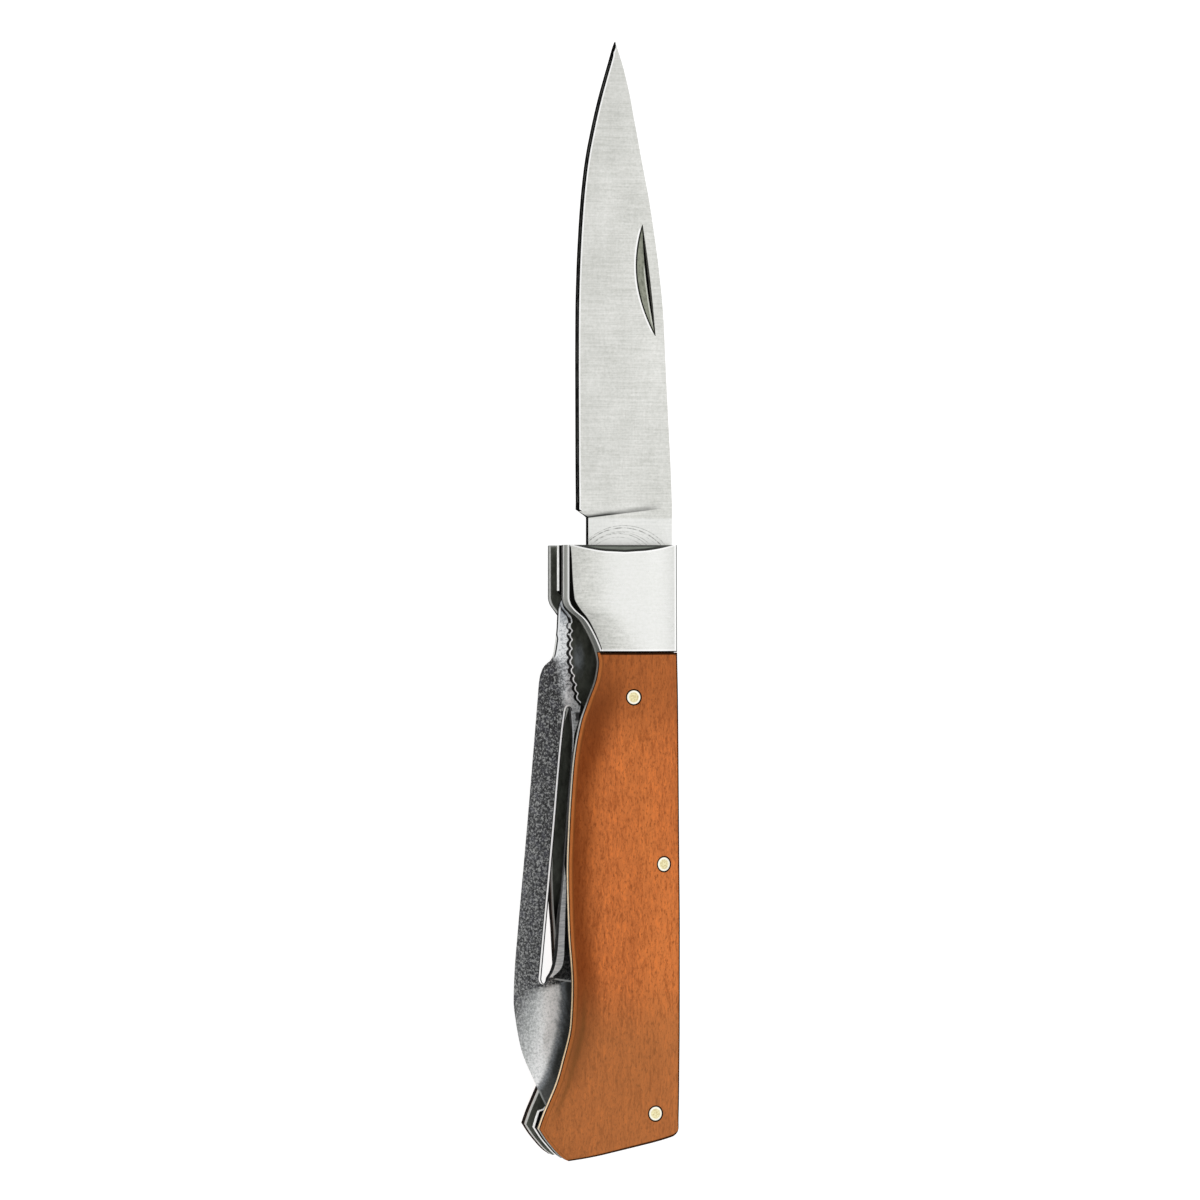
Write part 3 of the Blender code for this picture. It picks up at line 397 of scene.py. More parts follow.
def brushed(name, light, dark, rough, fine_u, fine_v, amount=0.5, metal=1.0):
    """Satin metal with two crossed sets of fine lines, fine_u and fine_v to the millimetre."""
    f = Finish(name, rough, metal)
    along = f.noise(f.coords(0.10, fine_v, 1.0), 1.0, 4.0, 0.6)
    across = f.noise(f.coords(fine_u, 0.10, 1.0), 1.0, 4.0, 0.6)
    cloud = f.noise(f.coords(0.09, 0.06, 0.1), 1.0, 3.0, 0.5)
    lines = f.calc('ADD', f.calc('MULTIPLY', f.calc('ADD', along, across), 0.5), f.calc('MULTIPLY', f.calc('SUBTRACT', cloud, 0.5), 0.6))
    f.colour(f.mix(f.linear(lines, 0.5 - 0.25 / amount, 0.5 + 0.25 / amount), dark, light))
    f.rough(f.linear(along, 0.3, 0.7, rough - 0.05, rough + 0.05))
    f.bump(f.calc('ADD', along, f.calc('MULTIPLY', across, 0.5)), 0.06, 0.02)
    return f


def nick_lines(f):
    """Sockets: distance right of the nick's left outline, distance right of its deepest line, and its length share."""
    share = f.linear(f.axis(1), NICK_TOP_V + DRAW_SHIFT_V, NICK_END_V + DRAW_SHIFT_V)
    bow = f.calc('SINE', f.calc('MULTIPLY', share, math.pi))
    lens = f.calc('POWER', f.calc('MAXIMUM', bow, 0.002), 0.85)
    wall = f.calc('ADD', f.calc('ADD', f.calc('MULTIPLY', share, NICK_END_U - NICK_TOP_U), NICK_TOP_U + DRAW_SHIFT_U),
                  f.calc('MULTIPLY', bow, 0.18))
    left = f.calc('SUBTRACT', wall, f.calc('ADD', f.calc('MULTIPLY', lens, NICK_WIDTH), 0.06))
    deep = f.calc('SUBTRACT', wall, f.calc('ADD', f.calc('MULTIPLY', lens, 0.50), 0.05))
    u = f.axis(0)
    return f.calc('SUBTRACT', u, left), f.calc('SUBTRACT', deep, u), share


def blade_finish():
    f = Finish("blade_satin", 0.34, 1.0)
    along = f.noise(f.coords(0.16, 3.4, 1.0, 0.05), 1.0, 3.0, 0.7, 0.3)
    across = f.noise(f.coords(2.8, 0.35, 1.0, -0.06), 1.0, 3.0, 0.7, 0.3)
    speck = f.noise(f.coords(2.6, 2.6, 2.6), 1.0, 2.0, 0.7)
    cloud = f.noise(f.coords(0.16, 0.11, 0.1), 1.0, 3.0, 0.55)
    lines = f.calc('ADD', f.calc('MULTIPLY', along, 0.48), f.calc('MULTIPLY', across, 0.16))
    lines = f.calc('ADD', lines, f.calc('MULTIPLY', speck, 0.36))
    lines = f.calc('ADD', lines, f.calc('MULTIPLY', f.calc('SUBTRACT', cloud, 0.5), 0.30))
    col = f.mix(f.linear(lines, 0.34, 0.66), lin(197, 198, 192), lin(235, 235, 231))
    col = f.mix(f.remap(f.axis(1), 12.7, 12.3, 0.0, 0.4), col, lin(246, 247, 246))
    # the ground flat is a shade darker towards its edge and its point
    side = f.calc('MULTIPLY', f.remap(f.axis(0), -4.0, 10.0, 1.0, 0.0), 0.10)
    point = f.calc('MULTIPLY', f.remap(f.axis(1), 66.0, 82.0, 0.0, 1.0), 0.10)
    col = f.mix(f.calc('ADD', side, point), col, lin(150, 151, 146))
    # wear arcs that the handle's end has left on the flat behind the choil
    arcs = None
    for cu, cv, r, width, strength in ((-2.95, 3.75, 6.35, 0.12, 0.7), (-2.70, 3.55, 6.75, 0.10, 0.5),
                                       (-2.30, 2.75, 8.20, 0.14, 0.8), (-2.10, 2.65, 8.65, 0.11, 0.6),
                                       (-3.00, 3.70, 5.85, 0.09, 0.4), (-2.20, 2.85, 7.60, 0.07, 0.4)):
        shift = f.tree.nodes.new('ShaderNodeVectorMath')
        shift.operation = 'SUBTRACT'
        f.tree.links.new(f.coords(1, 1, 0), shift.inputs[0])
        shift.inputs[1].default_value = (cu + DRAW_SHIFT_U, cv + DRAW_SHIFT_V, 0)
        length = f.tree.nodes.new('ShaderNodeVectorMath')
        length.operation = 'LENGTH'
        f.tree.links.new(shift.outputs[0], length.inputs[0])
        off = f.calc('ABSOLUTE', f.calc('SUBTRACT', length.outputs['Value'], r))
        line = f.calc('MULTIPLY', f.remap(off, 0.0, width, 1.0, 0.0), strength)
        arcs = line if arcs is None else f.calc('MAXIMUM', arcs, line)
    broken = f.remap(f.noise(f.coords(1.7, 2.6, 0.2), 1.0, 3.0, 0.7), 0.38, 0.62, 0.15, 1.0)
    here = f.calc('MULTIPLY', f.remap(f.axis(1), 12.4, 11.4, 0.0, 1.0), broken)
    col = f.mix(f.calc('MULTIPLY', arcs, here), col, lin(72, 74, 68))
    # shade of the run-out where the flat grind meets the full thickness
    col = f.mix(f.calc('MULTIPLY', f.attribute("plunge"), 0.96), col, lin(30, 31, 30))
    # painted highlight along the nick's left outline
    off, _, share = nick_lines(f)
    inside = f.calc('MULTIPLY', f.remap(share, 0.02, 0.05), f.remap(share, 0.985, 0.95))
    rim = f.calc('MULTIPLY', f.remap(off, -0.28, -0.22), f.remap(off, 0.04, -0.02))
    col = f.mix(f.calc('MULTIPLY', rim, inside), col, lin(252, 252, 251))
    f.colour(col)
    f.rough(f.linear(along, 0.3, 0.7, 0.30, 0.40))
    f.bump(f.calc('ADD', along, across), 0.05, 0.02)
    return f.mat


def nick_finish():
    """Ground facet of the nail nick: painted shade along its outline, a painted highlight near its foot."""
    f = brushed("nick_face", lin(172, 175, 160), lin(118, 121, 108), 0.42, 1.2, 2.8)
    base = f.bsdf.inputs['Base Color'].links[0].from_socket
    off, foot, share = nick_lines(f)
    base = f.mix(f.remap(f.noise(f.coords(2.6, 1.6, 2.0), 1.0, 3.0, 0.7), 0.42, 0.66, 0.0, 0.55), base, lin(84, 88, 78))
    # painted shade along the nick's outline
    base = f.mix(f.remap(off, 0.32, 0.20), base, lin(34, 36, 30))
    # painted highlight along the nick's foot
    glint = f.calc('MULTIPLY', f.remap(foot, 0.26, 0.18), f.calc('MULTIPLY', f.remap(share, 0.34, 0.42), f.remap(share, 0.94, 0.86)))
    base = f.mix(f.calc('MULTIPLY', glint, 0.85), base, lin(214, 216, 206))
    f.colour(base)
    return f.mat


def bolster_finish():
    """Satin steel with painted light on its worked edges: painted highlights along the rims, and painted shade in the
    corner beside the slot.
    """
    f = Finish("bolster_satin", 0.30, 1.0)
    along = f.noise(f.coords(0.40, 3.2, 1.0, 0.08), 1.0, 3.0, 0.65, 0.4)
    across = f.noise(f.coords(2.4, 2.4, 2.4), 1.0, 2.0, 0.7)
    cloud = f.noise(f.coords(0.14, 0.10, 0.1), 1.0, 3.0, 0.5)
    inward, rim, crest = f.attribute("inward"), f.attribute("rim"), f.attribute("crest")
    lines = f.calc('ADD', f.calc('MULTIPLY', along, 0.52), f.calc('MULTIPLY', across, 0.48))
    lines = f.calc('ADD', lines, f.calc('MULTIPLY', f.calc('SUBTRACT', cloud, 0.5), 0.25))
    # the lines are plainer on the slot's half of the face, which is also painted a shade darker
    left = f.remap(inward, 2.0, 8.0, 1.0, 0.0)
    col = f.mix(f.linear(lines, 0.34, 0.66), lin(226, 227, 223), lin(238, 238, 236))
    col = f.mix(left, col, f.mix(f.linear(lines, 0.34, 0.66), lin(198, 199, 193), lin(237, 237, 232)))
    # painted shade in the corner, widest where the scoop begins
    gap = f.calc('SUBTRACT', inward, f.attribute("corner"))
    corner = f.calc('MULTIPLY', f.remap(gap, 0.05, -0.05), f.remap(inward, 0.22, 0.30))
    col = f.mix(corner, col, lin(14, 14, 13))
    slot_edge_glint = f.calc('MULTIPLY', f.remap(inward, 0.30, 0.24), f.remap(inward, 0.07, 0.11))
    # painted highlight lines along the slot edge, behind the front bevel, along the back rim and before the wood, with
    # the joint's painted shadow last
    y = f.axis(1)
    front = f.calc('MULTIPLY', f.remap(crest, 0.24, 0.18), f.remap(inward, 0.2, 0.6))
    rear = f.calc('MULTIPLY', f.remap(y, BOLSTER_REAR_V + 0.54, BOLSTER_REAR_V + 0.44), f.remap(inward, 0.0, 0.4))
    right = f.calc('MULTIPLY', f.remap(rim, 0.56, 0.48), f.remap(rim, 0.24, 0.30))
    # the slot-side edge is grey, and painted shade makes it darker down the scoop
    col = f.mix(f.remap(inward, 0.10, 0.06), col, f.mix(f.remap(y, 0.6, -1.6), lin(150, 151, 147), lin(92, 94, 90)))
    col = f.mix(f.calc('MAXIMUM', f.calc('MAXIMUM', slot_edge_glint, right), f.calc('MAXIMUM', front, rear)), col, lin(252, 252, 251))
    # painted shade: the last of the back rim goes grey
    col = f.mix(f.remap(rim, 0.30, 0.24), col, lin(128, 129, 126))
    col = f.mix(f.remap(y, BOLSTER_REAR_V + 0.30, BOLSTER_REAR_V + 0.22), col, lin(10, 10, 9))
    f.colour(col)
    f.rough(f.linear(along, 0.3, 0.7, 0.26, 0.36))
    f.bump(f.calc('ADD', along, f.calc('MULTIPLY', across, 0.5)), 0.05, 0.02)
    return f.mat


def bevel_finish():
    """Front bevel: a darker grey copy of the satin steel as painted shade, with more painted shade along both of its
    borders.
    """
    f = brushed("bolster_bevel", lin(156, 161, 154), lin(112, 117, 110), 0.42, 0.8, 2.4)
    base = f.bsdf.inputs['Base Color'].links[0].from_socket
    base = f.mix(f.remap(f.attribute("crest"), -0.46, -0.26), base, lin(40, 42, 38))
    base = f.mix(f.remap(f.axis(1), BOLSTER_FRONT_V + DRAW_SHIFT_V - 0.30, BOLSTER_FRONT_V + DRAW_SHIFT_V - 0.18), base, lin(52, 54, 50))
    f.colour(base)
    return f.mat


def wall_finish():
    """Slot-side wall of the near bolster: pale at the front, with painted shade darker down the scoop."""
    f = brushed("bolster_wall", lin(150, 151, 146), lin(118, 119, 114), 0.5, 0.5, 1.5, metal=0.3)
    f.bsdf.inputs['Specular IOR Level'].default_value = 0.1
    base = f.bsdf.inputs['Base Color'].links[0].from_socket
    base = f.mix(f.remap(f.axis(1), 0.6, -1.6), base, lin(98, 100, 96))
    f.colour(base)
    return f.mat


def warm(r, g, b):
    """Wood tone, lifted for the soft light."""
    return tuple(1.17 * c for c in lin(r, g, b + 4))


def wood_finish(name, wall=False, far=False):
    f = Finish(name, 0.50, 0.0)
    wave = f.noise(f.coords(0.16, 0.035, 0.16), 1.0, 2.0, 0.5)
    bands = f.noise(f.coords(0.42, 0.030, 0.4), 1.0, 3.0, 0.55, 0.4)
    grain = f.noise(f.coords(2.2, 0.42, 1.8), 1.0, 4.0, 0.70, 0.5)
    fleck = f.noise(f.coords(3.8, 1.4, 3.2), 1.0, 2.5, 0.68, 0.3)
    pores = f.noise(f.coords(4.6, 1.5, 4.4), 1.0, 2.0, 0.6)
    base = f.mix(f.remap(wave, 0.35, 0.65), warm(190, 108, 54), warm(200, 116, 58))
    base = f.mix(f.remap(bands, 0.42, 0.66, 0.0, 0.45), base, warm(172, 96, 48))
    base = f.mix(f.remap(grain, 0.50, 0.66, 0.0, 0.66), base, warm(146, 76, 33))
    base = f.mix(f.remap(grain, 0.48, 0.32, 0.0, 0.72), base, warm(222, 124, 58))
    base = f.mix(f.remap(fleck, 0.53, 0.68, 0.0, 0.70), base, warm(134, 74, 34))
    base = f.mix(f.remap(fleck, 0.45, 0.32, 0.0, 0.62), base, warm(214, 118, 56))
    base = f.mix(f.remap(pores, 0.58, 0.72, 0.0, 0.50), base, warm(112, 60, 28))
    if wall:
        base = f.mix(0.60, base, f.mix(f.remap(f.axis(1), -52.0, -62.0), lin(168, 100, 52), lin(146, 90, 48)))
        # dark joint between the plate and the wood
        if not far:
            base = f.mix(f.remap(f.axis(2), W_NEAR_SCALE + 0.56, W_NEAR_SCALE + 0.38), base, lin(44, 20, 7))
        # painted shade on the back and butt, darker towards the upper edge of the wall
        outer = f.calc('MAXIMUM', f.remap(f.axis(0), 8.6, 9.2),
                       f.calc('MULTIPLY', f.remap(f.axis(1), -78.6, -79.6), f.remap(f.axis(0), 0.6, 2.6)))
        upper_edge_shade = f.calc('MULTIPLY', f.remap(f.axis(2), W_NEAR_SCALE + 0.50, W_NEAR_SCALE + 1.50, 0.0, 0.9), outer)
        base = f.mix(upper_edge_shade, base, lin(30, 16, 9))
        # painted shade: the far scale's walls go dark except along the back and butt
        if far:
            base = f.mix(f.remap(outer, 0.0, 1.0, 1.0, 0.0), base, lin(34, 30, 27))
    else:
        inward, along = f.attribute("inward"), f.axis(1)
        # painted red-brown shade that follows the slot edge
        wander = f.calc('MULTIPLY', f.calc('SUBTRACT', f.noise(f.coords(0.35, 0.06, 0.1), 1.0, 3.0), 0.5), 3.0)
        upper = f.calc('MULTIPLY', f.remap(along, -31.0, -20.0), f.remap(along, -9.0, -15.0))
        inner = f.calc('SUBTRACT', f.calc('ADD', inward, wander), f.calc('MULTIPLY', upper, 1.0))
        side = f.calc('MULTIPLY', f.remap(inner, 0.6, 4.6, 1.0, 0.0), f.remap(along, -78.0, -66.0, 0.2, 1.0))
        side = f.calc('MULTIPLY', side, f.remap(along, -9.0, -17.0, 0.3, 1.0))
        base = f.mix(f.calc('MULTIPLY', side, 0.78), base, lin(106, 46, 15))
        # painted shade, darker towards the bolster
        front = f.remap(f.calc('ADD', along, f.calc('MULTIPLY', wander, 0.8)), -25.0, -13.0, 0.0, 1.0)
        base = f.mix(f.calc('MULTIPLY', front, 0.44), base, lin(124, 72, 40))
        # browner and duller towards the butt
        rear = f.remap(f.calc('ADD', along, f.calc('MULTIPLY', wander, 1.5)), -55.0, -68.0, 0.0, 0.46)
        base = f.mix(rear, base, lin(150, 102, 62))
        # soft greenish streak that keeps its distance from the slot edge near the butt
        wander = f.calc('MULTIPLY', f.calc('SUBTRACT', f.noise(f.coords(0.3, 0.12, 0.1), 1.0, 2.0), 0.5), 0.5)
        off = f.calc('ABSOLUTE', f.calc('ADD', f.calc('SUBTRACT', inward, 1.15), wander))
        streak = f.calc('MULTIPLY', f.remap(off, 0.0, 0.62, 1.0, 0.0),
                        f.calc('MULTIPLY', f.remap(along, -56.0, -64.0), f.remap(along, -80.0, -75.0)))
        base = f.mix(f.calc('MULTIPLY', streak, 0.40), base, lin(104, 70, 36))
        # dark hairline in the corner where the edge is rounded over
        hair = f.remap(f.calc('ABSOLUTE', f.calc('SUBTRACT', inward, 0.16)), 0.0, 0.13, 1.0, 0.0)
        base = f.mix(f.calc('MULTIPLY', hair, 0.45), base, lin(76, 40, 20))
        # painted light: the rounded edge itself is lighter than the shade beside it
        edge = f.remap(inward, 0.30, 0.04, 0.0, 1.0)
        base = f.mix(f.calc('MULTIPLY', edge, 0.35), base, lin(176, 108, 56))
        # painted shade: the back edge and both ends go dark in the last hair's breadth
        rim = f.remap(f.attribute("rim"), 0.23, 0.40, 1.0, 0.0)
        base = f.mix(f.calc('MULTIPLY', rim, 0.95), base, lin(26, 14, 8))
    f.colour(base)
    f.rough(f.linear(grain, 0.3, 0.7, 0.52, 0.66))
    f.bsdf.inputs['Specular IOR Level'].default_value = 0.0
    f.bump(f.calc('ADD', grain, f.calc('MULTIPLY', pores, -0.7)), 0.22, 0.05)
    return f.mat


def peeler_finish():
    f = Finish("peeler_blasted", 0.50, 0.5)
    tone, line = f.attribute("tone"), f.attribute("line")
    lip = f.calc('MULTIPLY', f.attribute("lip"), f.remap(f.attribute("past_lip"), 0.03, -0.03))
    spot = f.noise(f.coords(2.7, 2.7, 2.7), 1.0, 1.0, 0.6)
    fine = f.noise(f.coords(5.6, 5.6, 5.6), 1.0, 1.0, 0.6)
    tint = f.noise(f.coords(0.8, 0.8, 0.8), 1.0, 2.0, 0.6)
    y, x = f.axis(1), f.axis(0)
    grit = f.calc('ADD', f.calc('MULTIPLY', spot, 0.6), f.calc('MULTIPLY', fine, 0.4))
    base = f.mix(f.linear(y, -14.0, -58.0), lin(56, 56, 57), lin(84, 85, 86))
    dark = f.mix(f.remap(grit, 0.40, 0.50, 0.85, 0.0), base, lin(18, 18, 20))
    dark = f.mix(f.remap(grit, 0.50, 0.62), dark, lin(152, 153, 152))
    dark = f.mix(f.remap(tint, 0.45, 0.70, 0.0, 0.25), dark, lin(84, 84, 98))
    bright = f.mix(f.remap(grit, 0.34, 0.54), lin(188, 191, 194), lin(250, 252, 253))
    # the bowl, with a painted highlight brightest along the ridge before it drops
    bowl = f.mix(f.remap(grit, 0.30, 0.66), lin(176, 179, 178), lin(228, 231, 230))
    ridge = f.mix(f.remap(grit, 0.28, 0.60), lin(214, 217, 216), lin(255, 255, 255))
    bright = f.mix(f.remap(y, -56.0, -58.0), bright, f.mix(f.attribute("ridge"), bowl, ridge))
    # the tongue is painted a blue-grey shade at its point and frosted darker towards the slot
    point = f.remap(y, -4.2, -0.9, 0.0, 0.8)
    bright = f.mix(point, bright, lin(120, 132, 144))
    frost = f.calc('MULTIPLY', f.remap(y, -7.6, -10.4), f.remap(y, -15.0, -13.2, 0.0, 1.0))
    coarse = f.mix(f.remap(grit, 0.38, 0.60), lin(116, 118, 120), lin(206, 208, 210))
    bright = f.mix(frost, bright, coarse)
    # painted light and shade: where tone is high the sheet gets its bright, lit copy, where low its dark, shaded one
    col = f.mix(tone, dark, bright)
    # the wall that drops behind the handle lies in its shade
    drop = f.mix(f.remap(grit, 0.40, 0.60), lin(45, 47, 46), lin(58, 60, 57))
    drop = f.mix(f.attribute("deep"), f.mix(f.remap(grit, 0.40, 0.60), lin(118, 122, 125), lin(140, 145, 150)), drop)
    col = f.mix(f.attribute("drop"), col, drop)
    # cut line round the slot and the teeth, bright steel with a painted highlight, and painted shade in the dark corner
    # beside it
    col = f.mix(f.remap(line, 0.0, 0.9), col, lin(255, 255, 255))
    col = f.mix(f.remap(line, 0.0, -1.0), col, lin(8, 8, 8))
    # painted shade: the dark strip beside the slot's upper end
    shaded = f.calc('MULTIPLY', f.remap(f.attribute("shaded"), -0.3, 0.3), f.remap(y, -28.2, -26.5))
    col = f.mix(shaded, col, lin(8, 8, 8))
    # outline of the tongue: a painted highlight line, a painted dark shade line, then a painted reflection on the edge
    # outside it lower down
    off = f.calc('SUBTRACT', f.attribute("left"), f.remap(y, -5.0, -5.9, 0.0, 0.20))
    tongue = f.calc('MULTIPLY', f.attribute("upper"), f.remap(y, -8.9, -8.3))
    inner = f.calc('MULTIPLY', f.remap(off, 0.46, 0.34), f.remap(y, -0.6, -1.4))
    col = f.mix(f.calc('MULTIPLY', inner, tongue), col, lin(248, 250, 251))
    col = f.mix(f.calc('MULTIPLY', f.remap(off, 0.20, 0.15), tongue), col, lin(12, 13, 12))
    outer = f.calc('MULTIPLY', f.remap(off, 0.02, -0.02), f.remap(y, -5.0, -5.6))
    col = f.mix(f.calc('MULTIPLY', outer, tongue), col, lin(232, 233, 230))
    # a painted dark line and a painted highlight ring round the slot's upper end
    cu, half, reach = -10.175 + DRAW_SHIFT_U, 0.495, 0.62
    du = f.calc('DIVIDE', f.calc('SUBTRACT', x, cu), half)
    dv = f.calc('DIVIDE', f.calc('SUBTRACT', y, SLOT_TOP_V + DRAW_SHIFT_V), reach)
    q = f.calc('SQRT', f.calc('ADD', f.calc('MULTIPLY', du, du), f.calc('MULTIPLY', dv, dv)))
    q = f.calc('MULTIPLY', f.calc('SUBTRACT', q, 1.0), 0.56)
    upper = f.calc('MULTIPLY', f.remap(y, SLOT_TOP_V + 0.02, SLOT_TOP_V + 0.14), f.attribute("upper"))
    col = f.mix(f.calc('MULTIPLY', f.remap(q, 0.14, 0.08), upper), col, lin(12, 12, 12))
    ring = f.calc('MULTIPLY', f.calc('MULTIPLY', f.remap(q, 0.40, 0.34), f.remap(q, 0.10, 0.14)), f.remap(x, cu + 0.55, cu + 0.20))
    col = f.mix(f.calc('MULTIPLY', ring, upper), col, lin(250, 251, 250))
    # paler line along the edge where the bowl runs out at the butt
    low = f.calc('MULTIPLY', f.remap(f.attribute("left"), 0.27, 0.15), f.remap(y, -73.8, -74.8))
    col = f.mix(f.calc('MULTIPLY', low, f.attribute("upper")), col, lin(134, 137, 135))
    # paler line along the ledge under the lip
    below = f.calc('ADD', f.calc('MULTIPLY', f.calc('SUBTRACT', x, -12.7 + DRAW_SHIFT_U), -0.163), -57.50 + DRAW_SHIFT_V)
    ledge = f.remap(f.calc('ABSOLUTE', f.calc('SUBTRACT', y, below)), 0.17, 0.08)
    ledge = f.calc('MULTIPLY', f.calc('MULTIPLY', ledge, f.attribute("upper")), f.remap(x, -12.6 + DRAW_SHIFT_U, -12.2 + DRAW_SHIFT_U))
    col = f.mix(f.calc('MULTIPLY', ledge, 0.9), col, lin(205, 206, 205))
    # whetted face of the peeling lip, with marks across it
    marks = f.noise(f.coords(0.5, 4.2, 0.5), 1.0, 3.0, 0.7)
    face = f.mix(f.remap(marks, 0.36, 0.66), lin(255, 255, 255), lin(214, 216, 218))
    col = f.mix(lip, col, face)
    f.colour(col)
    plain = f.calc('MAXIMUM', f.calc('MAXIMUM', lip, f.remap(line, 0.0, 0.6)), f.remap(y, -56.0, -59.0))
    f.put(f.bsdf.inputs['Metallic'], f.linear(plain, 0.0, 1.0, 0.5, 0.05))
    f.rough(f.linear(grit, 0.3, 0.7, 0.56, 0.44))
    f.bump(grit, 0.25, 0.05)
    return f.mat


def plain_metal(name, light, dark, rough, metal=1.0, scale=(1.2, 1.2, 1.2), bump=0.1):
    f = Finish(name, rough, metal)
    n = f.noise(f.coords(*scale), 1.0, 4.0, 0.6)
    f.colour(f.mix(f.remap(n, 0.34, 0.66), dark, light))
    f.rough(f.linear(n, 0.3, 0.7, rough - 0.06, rough + 0.06))
    f.bump(n, bump, 0.02)
    return f.mat


def matte(name, light, dark):
    """Surface painted dark for deep shade, without gloss."""
    f = Finish(name, 0.9, 0.0)
    f.bsdf.inputs['Specular IOR Level'].default_value = 0.0
    n = f.noise(f.coords(0.9, 1.6, 0.9), 1.0, 3.0, 0.6)
    f.colour(f.mix(f.remap(n, 0.34, 0.66), dark, light))
    f.bump(n, 0.1, 0.02)
    return f.mat


def liner_edge_finish(name, near):
    """Cut edge of the thin plates: cream beside the wood as painted warm reflected light, greyer at the ends, with a
    painted highlight and painted shade at the front and painted shade in the gap.
    """
    f = Finish(name, 0.5, 0.4)
    n = f.noise(f.coords(1.0, 1.6, 1.0), 1.0, 3.0, 0.6)
    along = f.axis(1)
    if not near:
        edge = f.mix(f.remap(along, -6.0, -12.0), lin(160, 161, 157), lin(112, 114, 107))
        edge = f.mix(f.remap(along, -56.0, -64.0), edge, lin(186, 186, 181))
        # painted shade low on the far plate's edge along the slot
        low = f.calc('MULTIPLY', f.remap(f.axis(2), W_PEELER_GAP - 0.40, W_PEELER_GAP - 0.60), f.calc('MULTIPLY', f.remap(along, -20.0, -30.0), f.remap(along, -62.0, -58.0)))
        edge = f.mix(low, edge, lin(66, 54, 44))
        f.colour(f.mix(f.remap(n, 0.42, 0.64, 0.0, 0.3), edge, lin(96, 96, 92)))
        f.bump(n, 0.1, 0.02)
        return f.mat
    mid = f.calc('MULTIPLY', f.remap(along, -7.4, -9.4), f.remap(along, -80.4, -79.2))
    # painted light: the cream of warm reflected light along the wood
    cream = f.mix(f.remap(along, -14.4, -17.5), lin(112, 108, 102), lin(198, 196, 192))
    cream = f.mix(f.remap(along, -19.0, -26.0), cream, lin(214, 204, 186))
    cream = f.mix(f.remap(along, -26.0, -40.0), cream, lin(255, 224, 178))
    # painted highlight on the upper part of the near plate's front edge, painted shade below it
    front = f.mix(f.remap(f.axis(2), W_NEAR_SCALE - 0.30, W_NEAR_SCALE - 0.22), lin(34, 34, 32), lin(240, 240, 237))
    front = f.mix(f.remap(along, 1.4, -0.8), front, lin(128, 130, 124))
    col = f.mix(mid, front, cream)
    col = f.mix(f.remap(n, 0.42, 0.64, 0.0, 0.22), col, lin(132, 126, 116))
    # its inner half lies in the gap's shade
    shade = f.calc('MULTIPLY', f.remap(f.axis(2), W_NEAR_LINER + 0.46, W_NEAR_LINER + 0.28), f.calc('MULTIPLY', f.remap(along, 1.2, 0.4), f.remap(along, -80.4, -79.2)))
    col = f.mix(shade, col, lin(10, 10, 9))
    joint = f.calc('MULTIPLY', f.remap(f.axis(2), W_NEAR_SCALE - 0.20, W_NEAR_SCALE - 0.10), mid)
    col = f.mix(joint, col, lin(60, 32, 14))
    col = f.mix(f.remap(f.axis(0), 8.6, 9.6), col, f.mix(f.remap(n, 0.36, 0.64), lin(150, 151, 147), lin(182, 183, 179)))
    f.colour(col)
    f.bump(n, 0.1, 0.02)
    return f.mat


def liner_face_finish():
    f = Finish("liner_face", 0.5, 0.8)
    n = f.noise(f.coords(0.9, 0.5, 0.9), 1.0, 4.0, 0.6)
    base = f.mix(f.remap(n, 0.34, 0.66), lin(84, 86, 78), lin(114, 117, 108))
    # painted highlight line across the plates' front ends
    base = f.mix(f.remap(f.axis(1), 8.10, 8.22), base, lin(170, 171, 167))
    # painted shade on the plates' faces inside the slot
    dark = f.calc('MULTIPLY', f.remap(f.axis(1), -43.0, -48.0), f.remap(f.axis(1), -55.6, -54.0))
    base = f.mix(dark, base, lin(14, 14, 13))
    # a paler cloud where light falls into the scoop
    du = f.calc('DIVIDE', f.calc('SUBTRACT', f.axis(0), -7.55 + DRAW_SHIFT_U), 1.1)
    dv = f.calc('DIVIDE', f.calc('SUBTRACT', f.axis(1), -9.0), 3.4)
    cloud = f.remap(f.calc('SQRT', f.calc('ADD', f.calc('MULTIPLY', du, du), f.calc('MULTIPLY', dv, dv))), 0.1, 1.1, 1.0, 0.0)
    base = f.mix(f.calc('MULTIPLY', cloud, f.remap(n, 0.30, 0.60, 0.25, 0.75)), base, lin(176, 184, 192))
    f.colour(base)
    f.bump(n, 0.1, 0.02)
    return f.mat


def pin_finish():
    f = Finish("pin_brass_polished", 0.30, 1.0)
    n = f.noise(f.coords(4.2, 4.2, 0.5), 1.0, 3.0, 0.65)
    core = f.mix(f.remap(n, 0.38, 0.60), lin(206, 190, 142), lin(240, 232, 186))
    rad = f.attribute("radius")
    col = f.mix(f.remap(rad, 0.70, 0.84), core, lin(253, 250, 234))
    # painted shade on the domed rim of the pin's end
    col = f.mix(f.remap(rad, 1.01, 1.06), col, lin(16, 12, 8))
    f.colour(col)
    f.bump(n, 0.15, 0.03)
    return f.mat


blade_satin = blade_finish()
# painted light on the edge: the ground edge is near black as painted shade and dark reflection, blade_core is a painted
# grey glint inside it, blade_glint a painted highlight line beside it
blade_dark = plain_metal("blade_ground_edge", lin(22, 22, 21), lin(8, 8, 8), 0.45, scale=(0.5, 5.0, 0.5))
blade_core = plain_metal("blade_edge_glint", lin(74, 74, 72), lin(30, 30, 30), 0.4, scale=(0.5, 0.8, 0.5))
blade_glint = plain_metal("blade_edge_line", lin(250, 250, 249), lin(238, 238, 236), 0.3)
nick_face = nick_finish()
